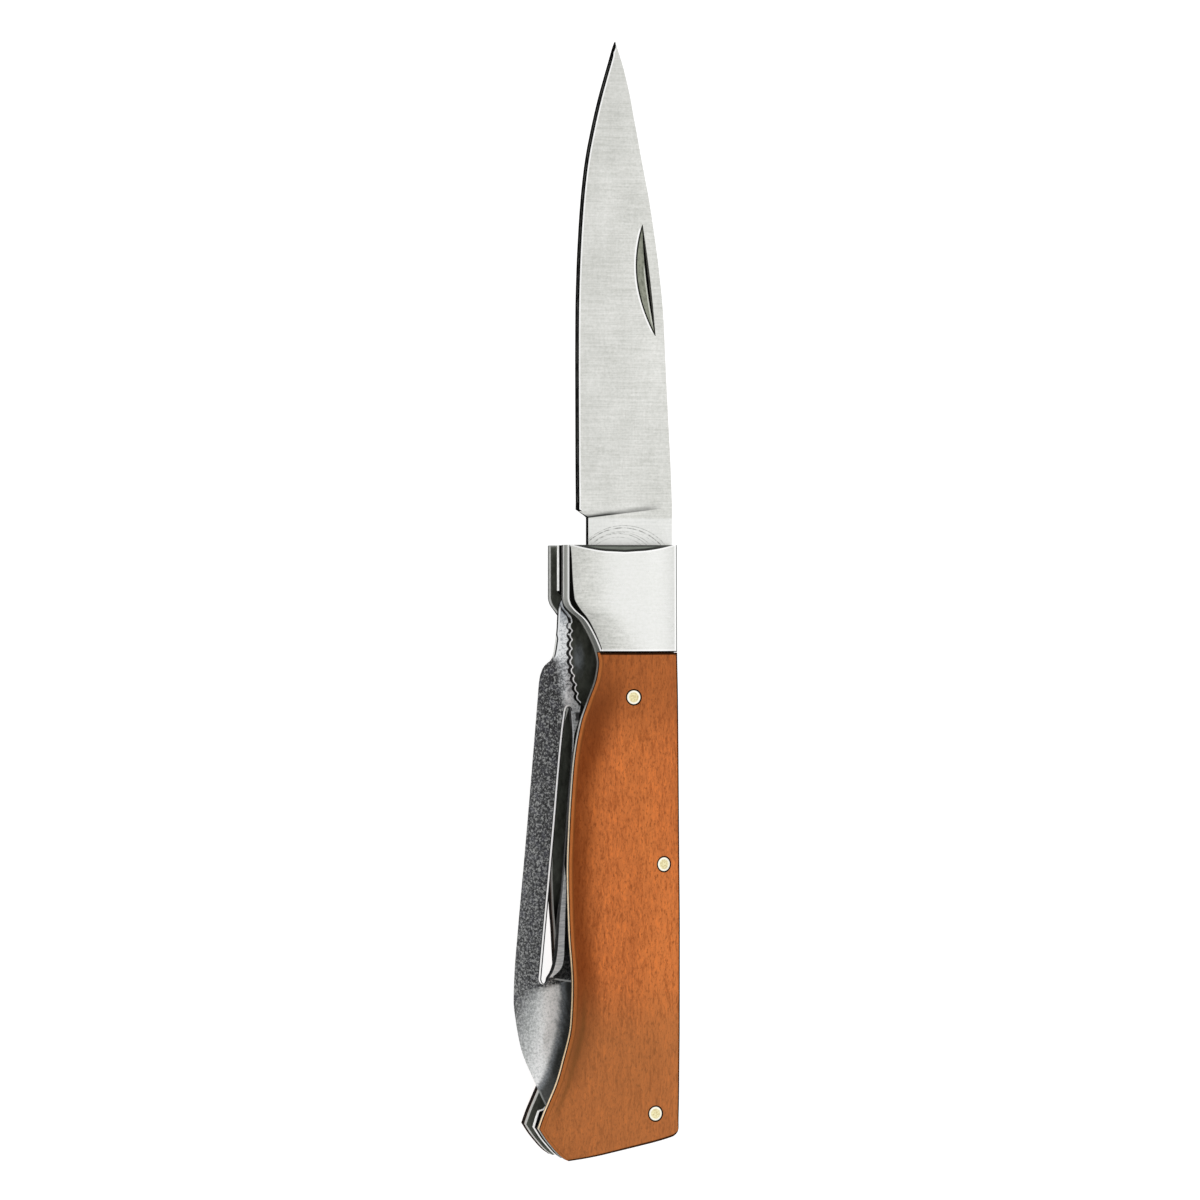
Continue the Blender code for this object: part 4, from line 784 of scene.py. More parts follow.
# painted shade: the nick's deepest corner near black and its wall dark grey
nick_dark = plain_metal("nick_corner", lin(14, 14, 13), lin(6, 6, 6), 0.5)
nick_wall = plain_metal("nick_wall", lin(92, 92, 86), lin(64, 64, 59), 0.45)
bolster_satin = bolster_finish()
bolster_bevel = bevel_finish()
bolster_wall = wall_finish()
far_wall = matte("far_bolster_wall", lin(54, 55, 52), lin(34, 35, 33))
matte_black = matte("edge_in_shade", lin(18, 18, 17), lin(9, 9, 9))
cherry = wood_finish("cherry_oiled")
cherry_wall = wood_finish("cherry_edge", wall=True)
cherry_far = wood_finish("cherry_far_edge", wall=True, far=True)
liner_edge = liner_edge_finish("liner_edge", True)
far_edge = liner_edge_finish("far_liner_edge", False)
liner_face = liner_face_finish()
centre_edge = plain_metal("centre_edge", lin(240, 240, 238), lin(206, 206, 202), 0.4, 0.5)
spring_steel = brushed("spring_satin", lin(176, 176, 173), lin(138, 138, 135), 0.36, 0.6, 2.4).mat
spring_face = plain_metal("spring_face", lin(70, 70, 67), lin(44, 44, 42), 0.45)
pin_brass = pin_finish()
pivot_steel = plain_metal("pivot_turned", lin(190, 190, 187), lin(150, 150, 147), 0.32)
# painted shade: the walls of the pin holes are drawn dark as they lie in shade
hole_dark = plain_metal("hole_wall", lin(26, 18, 12), lin(12, 9, 7), 0.6, 0.0)
peeler_steel = peeler_finish()
tang_steel = brushed("tang_satin", lin(150, 150, 149), lin(112, 112, 111), 0.40, 1.5, 1.5).mat


# ---------------------------------------------------------------- handle shape
def butt_bow(s):
    if s < 0.92:
        return (s / 0.92) ** 0.9
    return math.sqrt(max(0.0, 1 - ((s - 0.92) / 0.08) ** 2))


def butt_edge(inset=0.0, fine=True):
    (lu, lv), (ru, rv) = BUTT_ROWS[-1]
    length = math.hypot(ru - lu, rv - lv)
    nu, nv = (rv - lv) / length, -(ru - lu) / length
    ts = steps(0.0, 0.92, 24) + [0.92 + 0.08 * math.sin(math.pi / 2 * k / 12) for k in range(1, 13)]
    pts = []
    for t in ts:
        b = BUTT_BULGE * butt_bow(t) - inset
        pts.append((lu + (ru - lu) * t + nu * b, lv + (rv - lv) * t + nv * b))
    return pts


def butt_lines(n):
    """Dense pairs of edge points that fan round the butt."""
    rows = []
    table = [((slot_side(-70.3), -70.3), (back_side(-70.3), -70.3))] + BUTT_ROWS
    for k in range(len(table) - 1):
        (_, lv0), (ru0, rv0) = table[k]
        (_, lv1), (ru1, rv1) = table[k + 1]
        for i in range(1, n + 1):
            s = i / n
            lv = lv0 + (lv1 - lv0) * s
            lu = slot_side(lv) if k < 4 else butt_lower(lv)
            rows.append(((lu, lv), (ru0 + (ru1 - ru0) * s, rv0 + (rv1 - rv0) * s)))
    return rows


def outline(front_v, side):
    vs = [front_v] + [v for v in steps(8.0, 0.6, 10) if v < front_v - 0.1]
    vs += steps(0.4, -19.0, 80) + steps(-19.5, -70.3, 90)
    left = [(side(v), v) for v in vs]
    right = [(back_side(v), v) for v in vs[::4]]
    fan = butt_lines(5)
    left += [l for l, _ in fan]
    right += [r for _, r in fan]
    return left + butt_edge()[1:-1] + list(reversed(right))


def crown_height(t, width):
    reach = min(CROWN_REACH, 0.44 * width)
    top = SCALE_CROWN - max(0.0, (12.0 - width)) * 0.05
    if t <= 0.0:
        return EDGE_WALL
    if t < EDGE_ROUND_W:
        s = t / EDGE_ROUND_W
        return EDGE_WALL + (EDGE_ROUND_H - EDGE_WALL) * math.sqrt(max(0.0, 1 - (1 - s) ** 2))
    s = min(1.0, (t - EDGE_ROUND_W) / (reach - EDGE_ROUND_W))
    return EDGE_ROUND_H + (top - EDGE_ROUND_H) * (1 - (1 - s) ** 2)


def crown_columns(width):
    reach = min(CROWN_REACH, 0.44 * width)
    ts = [0.0, 0.02, 0.05, 0.09, 0.14, 0.20, 0.27, 0.35, 0.43, EDGE_ROUND_W]
    ts += [EDGE_ROUND_W + (reach - EDGE_ROUND_W) * s for s in
           (0.01, 0.03, 0.08, 0.14, 0.21, 0.29, 0.38, 0.48, 0.58, 0.69, 0.80, 0.90, 1.0)]
    return ts + [width * 0.5] + [width - t for t in reversed(ts)]


def end_drop(d, size=0.16):
    """How far a rounded end edge falls at distance d from the end."""
    if d >= size:
        return 0.0
    return size * (1 - math.sqrt(max(0.0, 1 - (1 - d / size) ** 2)))


def crest_drop(t):
    """How far the top of the front bevel stands back at distance t from the slot edge."""
    reach = 7.3 if t < 8.1 else 8.5
    return 1.10 * max(0.0, 1 - ((t - 8.1) / reach) ** 2) * ease((t - 0.5) / 0.6)


def crowned(name, rows, base_w, up, front_bevel=False, bowed=False):
    """Fine crowned slab on its liner; rows are pairs of edge points, front to rear.

    Writes the point attributes inward (distance from the slot edge), rim
    (distance from the back edge and the two ends) and crest (how far behind
    the top of the front bevel)."""
    top, marks = [], []
    lead = 7 if front_bevel else 0
    front = rows[0][0][1]
    rear = rows[-1][0][1]
    for i, ((lu, lv), (ru, rv)) in enumerate(rows):
        width = math.hypot(ru - lu, rv - lv)
        line, mark = [], []
        for t in crown_columns(width):
            s = t / width
            near = min(t, width - t)
            h = crown_height(near, width)
            u, v = lu + (ru - lu) * s, lv + (rv - lv) * s
            from_rear = abs(v - rear) if not bowed else None
            if front_bevel:
                crest = front - crest_drop(t)
                share = (front - v) / (front - rear)
                v = crest + (rear - crest) * share
            if bowed:
                last = len(rows) - 1 - i
                reach = 16
                if last < reach:
                    b = BUTT_BULGE * (1 - last / reach)
                    nu, nv = (rv - lv) / width, -(ru - lu) / width
                    u += nu * b * butt_bow(s)
                    v += nv * b * butt_bow(s)
                d_end = last * 0.16
                h = max(EDGE_WALL, h - 0.30 * max(0.0, 1 - d_end / 0.5) ** 2)
                h -= end_drop(front - v, 0.10)
            else:
                h -= end_drop(from_rear, 0.10)
            line.append((u, v, h))
            d_end = min(front - v, (len(rows) - 1 - i) * 0.14) if bowed else 9.0
            mark.append((t, min(width - t, d_end) if bowed else width - t, crest - v if front_bevel else 9.0))
        top.append(line)
        marks.append(mark)
    if front_bevel:
        crest = top[0]
        strips = []
        for k in range(lead):
            s = k / lead
            strip = []
            for u, v, h in crest:
                rise = EDGE_WALL + (h - EDGE_WALL) * s
                over = max(0.0, rise - EDGE_ROUND_H) / max(1e-6, h - EDGE_ROUND_H)
                strip.append((u, front - (front - v) * min(1.0, over), rise))
            strips.append(strip)
        ahead = [[(a, b, min(-0.001, cv - v)) for (a, b, _), (_, v, _), (_, cv, _) in zip(marks[0], strip, crest)]
                 for strip in strips]
        top = strips + top
        marks = ahead + marks
    upper = [[P(u, v, base_w + up * h) for u, v, h in line] for line in top]
    lower = [[P(u, v, base_w) for u, v, h in line] for line in top]
    bm = grid_solid(upper, lower)
    flat = [m for line in marks for m in line] * 2
    obj = mesh_object(name, bm, 0.55)
    for index, label in ((0, "inward"), (1, "rim"), (2, "crest")):
        layer = obj.data.attributes.new(label, 'FLOAT', 'POINT')
        layer.data.foreach_set("value", [m[index] for m in flat])
    return obj


# how far in from the slot edge the painted shade in the near bolster's corner reaches
corner_shade = curve([(8.2, 0.51), (6.06, 0.66), (3.8, 0.75), (1.5, 0.90), (0.0, 1.06), (-0.9, 1.20),
                      (-1.8, 1.06), (-3.0, 0.66), (-5.3, 0.50), (-7.3, 0.43)])


def scale_rows(side):
    vs = [SCALE_FRONT_V - d for d in (0.0, 0.03, 0.07, 0.12)] + steps(-8.3, -20.0, 44) + steps(-20.6, -70.3, 84)
    rows = [((side(v), v), (back_side(v), v)) for v in vs]
    return rows + butt_lines(8)


def bolster_rows(side):
    vs = [BOLSTER_FRONT_V, 8.18] + steps(7.94, 0.5, 19) + steps(0.3, -7.5, 42) + \
        [BOLSTER_REAR_V + d for d in (0.16, 0.10, 0.05, 0.02, 0.0)]
    return [((side(v), v), (back_side(v), v)) for v in vs]


def scale_height(u, v, side=None):
    side = side or slot_side
    if v > -70.3:
        left, right = side(v), back_side(v)
    else:
        left, right = -13.5, 5.70
    return crown_height(max(0.0, min(u - left, right - u)), right - left)


def column(name, centre, r, w0, w1, n=72):
    return mesh_object(name, prism(circle(*centre, r, n), w0, w1))


def turned_pin(name, centre, r, low, high, n=72):
    """Pin whose ends follow low(u, v) and high(u, v): a flat core, a hairline step and a domed ring."""
    bm = bmesh.new()
    cu, cv = centre
    profile = [(0.25, 0.0), (0.50, 0.0), (0.70, 0.0), (0.76, 0.015), (0.82, 0.0), (0.92, 0.0), (1.0, -0.02), (r - 0.06, -0.06), (r - 0.02, -0.10), (r, -0.18)]
    rings = []
    for rad, lift in reversed(profile):
        rings.append([bm.verts.new(P(u, v, low(u, v) - lift)) for u, v in circle(cu, cv, rad, n)])
    rings.reverse()
    bottom = rings
    top = [[bm.verts.new(P(u, v, high(u, v) + lift)) for u, v in circle(cu, cv, rad, n)] for rad, lift in profile]
    caps = [bm.verts.new(P(cu, cv, low(cu, cv))), bm.verts.new(P(cu, cv, high(cu, cv)))]
    for rings, cap in ((bottom, caps[0]), (top, caps[1])):
        for i in range(n):
            j = (i + 1) % n
            bm.faces.new((cap, rings[0][i], rings[0][j]))
            for a, b in zip(rings, rings[1:]):
                bm.faces.new((a[i], b[i], b[j], a[j]))
    for i in range(n):
        j = (i + 1) % n
        bm.faces.new((bottom[-1][i], top[-1][i], top[-1][j], bottom[-1][j]))
    obj = mesh_object(name, bm, 0.5)
    paint(obj, "radius", lambda u, v, w: math.hypot(u - cu, v - cv))
    return obj


# ----------------------------------------------------------------- the handle
def on_hole(u, v, r=1.4):
    return any(math.hypot(u - cu, v - cv) < r for cu, cv in (SPRING_PIN, SCALE_PIN, PEELER_PIVOT))


def mend_marks(obj, side):
    """Rewrites the edge distances round the pin holes, where the cut leaves none."""
    inward, rim = obj.data.attributes["inward"].data, obj.data.attributes["rim"].data
    for i, vert in enumerate(obj.data.vertices):
        u, v, _ = drawing(vert.co)
        if on_hole(u, v, 1.8):
            inward[i].value = max(inward[i].value, u - side(v))
            rim[i].value = max(rim[i].value, 2.0)


def build_handle():
    mid = column("tool_mid", SPRING_PIN, PIN_HOLE_R, -2, 18)
    front = column("tool_front", SCALE_PIN, PIN_HOLE_R, -2, 18)
    butt = column("tool_butt", PEELER_PIVOT, PIN_HOLE_R, -2, 18)
    pivot = column("tool_pivot", BLADE_PIVOT, PIVOT_HOLE_R, W_FAR_LINER - SEAM - 2.6, W_NEAR_SCALE + SEAM + 2.6)

    def plate_side(_):
        return lambda u, v, w, n: 0 if abs(n.z) > 0.8 else (2 if on_hole(u, v) else 1)

    for name, side, w0, w1 in (("near_liner", slot_side, W_NEAR_LINER, W_NEAR_SCALE),
                               ("far_liner", slot_side_far, W_FAR_LINER, W_PEELER_GAP)):
        plate = mesh_object("seen_" + name, prism(outline(BOLSTER_FRONT_V, side), w0, w1, 0.04))
        carve(plate, [mid, front, butt, pivot])
        deep = name == "far_liner"
        dress(plate, [liner_face, far_edge if deep else liner_edge, hole_dark], plate_side(0))
        settle(plate, "handle", name)

    let_in = [(-12.0, 1.4), (-11.6, 0.8), (-9.8, 0.2), (-8.2, -1.6), (-6.4, -4.6),
              (-5.2, -7.4), (-4.9, -9.6), (-5.4, -12.6), (-6.8, -17.6), (-8.2, -24.0),
              (-9.0, -34.0), (-9.1, -44.0), (-8.7, -54.0), (-8.9, -62.0), (-10.0, -68.0),
              (-11.8, -73.0), (-13.2, -76.2), (-14.2, -77.2), (-15.1, -77.5)]
    back = [(back_side(v), v) for v in steps(BOLSTER_FRONT_V, -70.3, 40)]
    fan = butt_lines(5)
    divider = [(-12.0, BOLSTER_FRONT_V)] + let_in + [(-15.45, -78.5)]
    divider += [l for l, _ in fan if l[1] < -79.8] + butt_edge()[1:-1]
    divider += [r for _, r in reversed(fan)] + list(reversed(back))
    plate = mesh_object("seen_centre_liner", prism(divider, W_CENTRE, W_BLADE_GAP, 0.04))
    carve(plate, [mid, butt, pivot])
    dress(plate, [liner_face, centre_edge, hole_dark, matte_black, spring_steel],
          lambda u, v, w, n: 3 if n.z > 0.8 or (-1.6 < v < 1.25 and u < -8) else
          (4 if u > 3 and abs(n.z) < 0.8 and not on_hole(u, v) else plate_side(0)(u, v, w, n)))
    settle(plate, "handle", "centre_liner")

    def wood_side(u, v, w, n):
        if on_hole(u, v, 1.26) and abs(n.z) < 0.5:
            return 3
        if abs(n.z) < 0.3:
            return 2 if w < 6 and n.x < -0.2 else 1
        return 0

    near = crowned("seen_near_scale", scale_rows(slot_side), W_NEAR_SCALE + SEAM, 1, bowed=True)
    carve(near, [mid, front, butt])
    mend_marks(near, slot_side)
    dress(near, [cherry, cherry_wall, cherry_far, hole_dark], wood_side)
    settle(near, "handle", "near_scale")
    far = crowned("seen_far_scale", scale_rows(slot_side_far), W_FAR_LINER - SEAM, -1, bowed=True)
    carve(far, [mid, front, butt])
    mend_marks(far, slot_side_far)
    dress(far, [cherry, cherry_wall, cherry_far, hole_dark], wood_side)
    settle(far, "handle", "far_scale")

    for name, side, base, up in (("near_bolster", slot_side, W_NEAR_SCALE + SEAM, 1),
                                 ("far_bolster", bolster_side_far, W_FAR_LINER - SEAM, -1)):
        cap = crowned("seen_" + name, bolster_rows(side), base, up, front_bevel=True)
        carve(cap, [pivot])

        def part(u, v, w, n, side=side, base=base, up=up):
            h = (w - base) * up
            t = u - side(v)
            if n.y > 0.55:
                return 1 if h > EDGE_ROUND_H else 2
            if h < EDGE_WALL + 0.001 or abs(n.z) < 0.02:
                return 2 if up > 0 else 3
            return 0
        paint(cap, "corner", lambda u, v, w: corner_shade(v))
        dress(cap, [bolster_satin, bolster_bevel, bolster_wall, far_wall], part)
        settle(cap, "handle", name)
    return mid, front, butt, pivot


def build_pins():
    near_face, far_face = W_NEAR_SCALE + SEAM, W_FAR_LINER - SEAM

    def end(face, up, sink, side):
        return lambda u, v: face + up * (scale_height(u, v, side) - sink)

    near_end, far_end = end(near_face, 1, 0.02, slot_side), end(far_face, -1, 0.04, slot_side_far)
    for name, centre in (("peeler_pivot_pin", PEELER_PIVOT), ("spring_pin", SPRING_PIN)):
        pin = turned_pin("seen_" + name, centre, PIN_R, far_end, near_end)
        dress(pin, [pin_brass])
        settle(pin, "handle", name)
    pin = turned_pin("seen_near_scale_pin", SCALE_PIN, PIN_R, lambda u, v: W_NEAR_LINER + 0.12, near_end)
    dress(pin, [pin_brass])
    settle(pin, "handle", "near_scale_pin")
    pin = turned_pin("seen_far_scale_pin", SCALE_PIN, PIN_R, far_end, lambda u, v: W_PEELER_GAP - 0.12)
    dress(pin, [pin_brass])
    settle(pin, "handle", "far_scale_pin")
    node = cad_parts["blade_pivot_pin"]
    node.data.materials.clear()
    node.data.materials.append(pivot_steel)


def smooth_line(points, n=4):
    """Catmull-Rom line through points, n pieces to a span."""
    out = []
    for i in range(len(points) - 1):
        p0 = points[max(0, i - 1)]
        p1, p2 = points[i], points[i + 1]
        p3 = points[min(len(points) - 1, i + 2)]
        for k in range(n):
            t = k / n
            out.append(tuple(0.5 * (2 * b + (c - a) * t + (2 * a - 5 * b + 4 * c - d) * t * t
                                    + (3 * b - a - 3 * c + d) * t ** 3)
                             for a, b, c, d in zip(p0, p1, p2, p3)))
    return out + [points[-1]]


def build_springs(mid, butt, pivot):
    nose_u = BACK_U - 2.71
    inner = [(nose_u + 0.05, -0.05), (nose_u, -6.0), (nose_u + 0.15, -16.0), (2.55, -26.0),
             (2.10, -33.0), (1.35, -36.4), (1.05, -38.5), (1.02, -41.5), (1.35, -43.8),
             (2.2, -47.0), (2.6, -54.0), (2.3, -64.0), (1.2, -70.0), (-0.4, -73.6),
             (-1.4, -76.2), (-1.6, -79.0)]
    end = [(u, v) for u, v in butt_edge(0.08) if u > -1.5]
    back = [(back_side(v) - 0.02, v) for v in (-70.3, -65.0, -56.0, -48.0, -41.0, -33.0, -24.0, -15.0, -7.6)]
    line = smooth_line(inner, 3) + [(-1.6, -82.6)] + end[:-1] + [(5.54, -79.9), (5.67, -76.0)] + back + [(5.34, -0.05)]
    spring = mesh_object("seen_blade_spring", prism(line, W_BLADE_GAP + SEAM, W_NEAR_LINER - SEAM, 0.03))
    carve(spring, [butt, mid])

    def face(u, v, w, n):
        return 1 if abs(n.z) > 0.8 else (2 if on_hole(u, v) else 0)
    dress(spring, [spring_steel, spring_face, hole_dark], face)
    settle(spring, "handle", "blade_spring")

    root = [(5.32, 8.2), (-4.2, 8.2), (-5.6, 6.6), (-5.9, 3.0), (-5.4, 0.2), (-3.6, -1.6),
            (-0.6, -3.4), (1.6, -6.6), (2.5, -12.0), (2.7, -20.0), (2.6, -28.0),
            (2.05, -34.0), (1.35, -36.8), (1.05, -38.8), (1.05, -41.2), (1.4, -43.4),
            (2.3, -47.0), (2.8, -54.0), (2.9, -62.0), (3.3, -69.0), (3.86, -72.4), (3.88, -77.0)]
    line = root[:2] + smooth_line(root[2:], 3) + [(5.65, -77.0), (5.70, -74.0)]
    line += [(back_side(v) - 0.02, v) for v in (-70.3, -65.0, -56.0, -48.0, -41.0, -33.0, -24.0, -15.0, -7.6)]
    spring = mesh_object("seen_peeler_spring", prism(line, W_PEELER_GAP + SEAM, W_CENTRE - SEAM, 0.03))
    carve(spring, [pivot, mid])
    dress(spring, [spring_steel, spring_face, hole_dark], face)
    settle(spring, "handle", "peeler_spring")


# ------------------------------------------------------------------ the blade
def build_blade():
    edge, spine = curve(BLADE_EDGE), curve(BLADE_SPINE)
    shares = [0.0, 0.02, 0.05, 0.10, 0.17, 0.25, 0.34, 0.43, 0.52, 0.61, 0.70, 0.79, 0.87, 0.94, 0.98, 1.0]

    def section(le, ri, half_spine, half_back, half_edge):
        width = ri - le
        b = min(EDGE_BEVEL_W, width * (0.35 + 0.5 * ease((1.3 - width) / 0.8)))
        us = [le, le + b * 0.38, le + b * 0.60, le + b, le + b + min(0.22, (width - b) * 0.4)]
        start = us[-1]
        hs = [half_edge, half_edge + (half_back - half_edge) * 0.38,
              half_edge + (half_back - half_edge) * 0.60, half_back]
        flat = width - b
        hs.append(half_back + (half_spine - half_back) * (start - le - b) / flat)
        for s in shares[1:]:
            u = start + (ri - start) * s
            us.append(u)
            hs.append(half_back + (half_spine - half_back) * (u - le - b) / flat)
        return us, hs

    top, bottom = [], []
    vs = [84.9, 84.75, 84.6, 84.3, 84.0, 83.6, 83.2] + steps(82.6, 15.0, 110) + [14.8]
    for v in vs:
        le, ri = edge(v), spine(v)
        taper = min(1.0, 0.34 + (84.9 - v) / 34.0)
        narrow = min(1.0, 0.15 + (ri - le) / 6.0)
        us, hs = section(le, ri, BLADE_T / 2 * taper * min(1.0, narrow + 0.1),
                         EDGE_BEVEL_T / 2 * narrow, EDGE_T / 2)
        top.append([P(u, v, BLADE_MID_W + h) for u, h in zip(us, hs)])
        bottom.append([P(u, v, BLADE_MID_W - h) for u, h in zip(us, hs)])
    # run-out of the grind: its line leans towards the point on the spine side,
    # while the thickness comes back to the full measure on a small radius
    run = ((13.74, 14.64, -9.60, 0.03), (13.62, 14.57, -9.45, 0.09), (13.45, 14.50, -9.15, 0.20),
           (13.26, 14.44, -8.85, 0.36), (13.04, 14.38, -8.50, 0.58), (12.83, 14.31, -8.15, 0.80),
           (12.64, 14.24, -7.90, 0.94), (12.50, 14.16, RICASSO_EDGE, 1.0), (12.40, 14.06, RICASSO_EDGE, 1.0))
    for v_edge, v_spine, le, thick in run:
        ri = spine(14.2)
        us, hs = section(le, ri, BLADE_T / 2, EDGE_BEVEL_T / 2, EDGE_T / 2)
        rowt, rowb = [], []
        for u, h in zip(us, hs):
            v = v_edge + (v_spine - v_edge) * (u - us[0]) / (us[-1] - us[0])
            h = h + (BLADE_T / 2 - h) * thick
            rowt.append(P(u, v, BLADE_MID_W + h))
            rowb.append(P(u, v, BLADE_MID_W - h))
        top.append(rowt)
        bottom.append(rowb)

    bm = bmesh.new()
    a = [[bm.verts.new(p) for p in row] for row in top]
    b = [[bm.verts.new(p) for p in row] for row in bottom]
    rows, cols = len(a), len(a[0])
    for i in range(rows - 1):
        for j in range(cols - 1):
            bm.faces.new((a[i][j], a[i][j + 1], a[i + 1][j + 1], a[i + 1][j]))
            bm.faces.new((b[i][j], b[i + 1][j], b[i + 1][j + 1], b[i][j + 1]))
        bm.faces.new((a[i][0], a[i + 1][0], b[i + 1][0], b[i][0]))
        bm.faces.new((a[i][-1], b[i][-1], b[i + 1][-1], a[i + 1][-1]))
    for j in range(cols - 1):
        bm.faces.new((a[0][j], b[0][j], b[0][j + 1], a[0][j + 1]))
    pu, pv = BLADE_PIVOT
    tang = [(BACK_U, 12.0), (BACK_U, 6.0), (BACK_U - 0.05, TANG_SEAM_V),
            (BACK_U - 2.76, TANG_SEAM_V), (pu + 5.50, pv - 3.4)]
    tang += arc(pu, pv - 0.1, 5.3, -42, -132, 24)
    tang += [(pu - 4.6, pv - 3.6), (pu - 5.45, pv - 2.4), (pu - 5.62, pv - 0.5),
             (pu - 5.66, pv + 2.0), (pu - 5.60, pv + 3.6), (pu - 5.30, pv + 4.5),
             (RICASSO_EDGE, pv + 5.1), (RICASSO_EDGE, 9.0)]
    half = BLADE_T / 2
    th = [bm.verts.new(P(u, v, BLADE_MID_W + half)) for u, v in tang]
    tl = [bm.verts.new(P(u, v, BLADE_MID_W - half)) for u, v in tang]
    ring_h, ring_l = a[-1] + th, b[-1] + tl
    bm.faces.new(list(reversed(ring_h)))
    bm.faces.new(ring_l)
    n = len(ring_h)
    for i in range(cols - 1, n):
        j = (i + 1) % n
        bm.faces.new((ring_h[i], ring_h[j], ring_l[j], ring_l[i]))
    blade = mesh_object("seen_main_blade", bm, 0.12)

    hole = column("tool_blade_hole", (pu, pv), PIVOT_HOLE_R, W_CENTRE, W_NEAR_LINER + 1)
    nick_top, nick_bottom = [], []

    def nick_line(s):
        v = NICK_TOP_V + (NICK_END_V - NICK_TOP_V) * s
        wall = NICK_TOP_U + (NICK_END_U - NICK_TOP_U) * s + 0.18 * math.sin(math.pi * s)
        lens = math.sin(math.pi * min(max(s, 0.004), 0.996)) ** 0.85
        return v, wall, 0.06 + NICK_WIDTH * lens, 0.03 + NICK_DEPTH * lens, 0.05 + 0.50 * lens

    for s in [0.5 - 0.5 * math.cos(math.pi * k / 56) for k in range(57)]:
        v, wall, width, depth, back = nick_line(s)
        left = wall - width

        def face(u):
            le, ri = edge(v) + EDGE_BEVEL_W, spine(v)
            return BLADE_MID_W + (EDGE_BEVEL_T + (BLADE_T - EDGE_BEVEL_T) * (u - le) / (ri - le)) / 2

        deep = wall - back
        floor = face(deep) - depth
        slope = (face(left) - floor) / (deep - left)
        rise = (face(wall) - floor) / back
        turn = wall - back * 0.45
        lid = face(wall) + 0.7
        nick_top.append([P(left - 0.5, v, lid), P(deep, v, lid), P(turn, v, lid), P(wall + 0.2, v, lid)])
        nick_bottom.append([P(left - 0.5, v, face(left) + slope * 0.5), P(deep, v, floor),
                            P(turn, v, face(wall) - rise * back * 0.45), P(wall + 0.2, v, face(wall) + rise * 0.2)])
    nick = mesh_object("tool_nick", grid_solid(nick_top, nick_bottom))
    carve(blade, [hole, nick], smooth=0.12)
    discard(hole, nick)

    def shade(u, v, w):
        """Dark line where the grind runs out, turning soft and pale towards the spine."""
        if w < BLADE_MID_W:
            return 0.0
        s = (u - RICASSO_EDGE) / (BACK_U - RICASSO_EDGE)
        if s < -0.16 or s > 1:
            return 0.0
        line = 12.50 + 1.66 * max(0.0, s)
        d = v - line
        reach = 0.50 + 0.50 * s
        fade = 0.50 + 0.50 * ease((0.46 - s) / 0.30)
        fade *= ease((0.92 - s) / 0.25)
        if d < -0.04:
            return 0.0
        return min(1.0, 1.35 * fade * max(0.0, 1 - d / reach))
    paint(blade, "plunge", shade)

    choil = curve([(14.75, -9.57), (13.80, -9.60), (13.66, -9.45), (13.50, -9.15), (13.32, -8.85),
                   (13.08, -8.50), (12.86, -8.15), (12.66, -7.90), (12.50, -7.78), (6.0, -7.78)])

    def part(u, v, w, n):
        over = w > BLADE_MID_W
        le, ri = (edge(v), spine(v)) if v > 14.75 else (choil(v), BACK_U)
        if abs(n.z) < 0.5 and u > ri - 0.1 and v > 0:
            return 0
        if NICK_END_V - 0.3 < v < NICK_TOP_V + 0.3 and over:
            s = (v - NICK_TOP_V) / (NICK_END_V - NICK_TOP_V)
            _, wall, width, depth, back = nick_line(max(0.0, min(1.0, s)))
            if wall - width - 0.05 < u < wall + 0.1 and w < BLADE_MID_W + 0.64 * BLADE_T:
                if n.x > 0.09:
                    return 4
                if n.x < -0.2:
                    return 5 if u < wall - back * 0.44 else 6
        width = ri - le
        inner = min(EDGE_BEVEL_W, width * (0.35 + 0.5 * ease((1.3 - width) / 0.8)))
        if v > 13.5 and u < le + EDGE_BEVEL_W * 1.01:
            if le + inner * 0.38 < u < le + inner * 0.60 and 14.8 < v < 82.0:
                return 2
            if u < le + inner:
                return 1
        if v > 13.5 and u < le + inner + min(0.22, (width - inner) * 0.4) and over:
            return 3
        if abs(n.z) < 0.5 and u < RICASSO_EDGE + 0.2 and v > 6:
            return 7
        if 12.35 < v <= 14.75 and abs(n.z) < 0.3:
            return 7
        return 0
    dress(blade, [blade_satin, blade_dark, blade_core, blade_glint, nick_face, nick_dark, nick_wall, matte_black], part)
    settle(blade, "paring_blade", "main_blade")


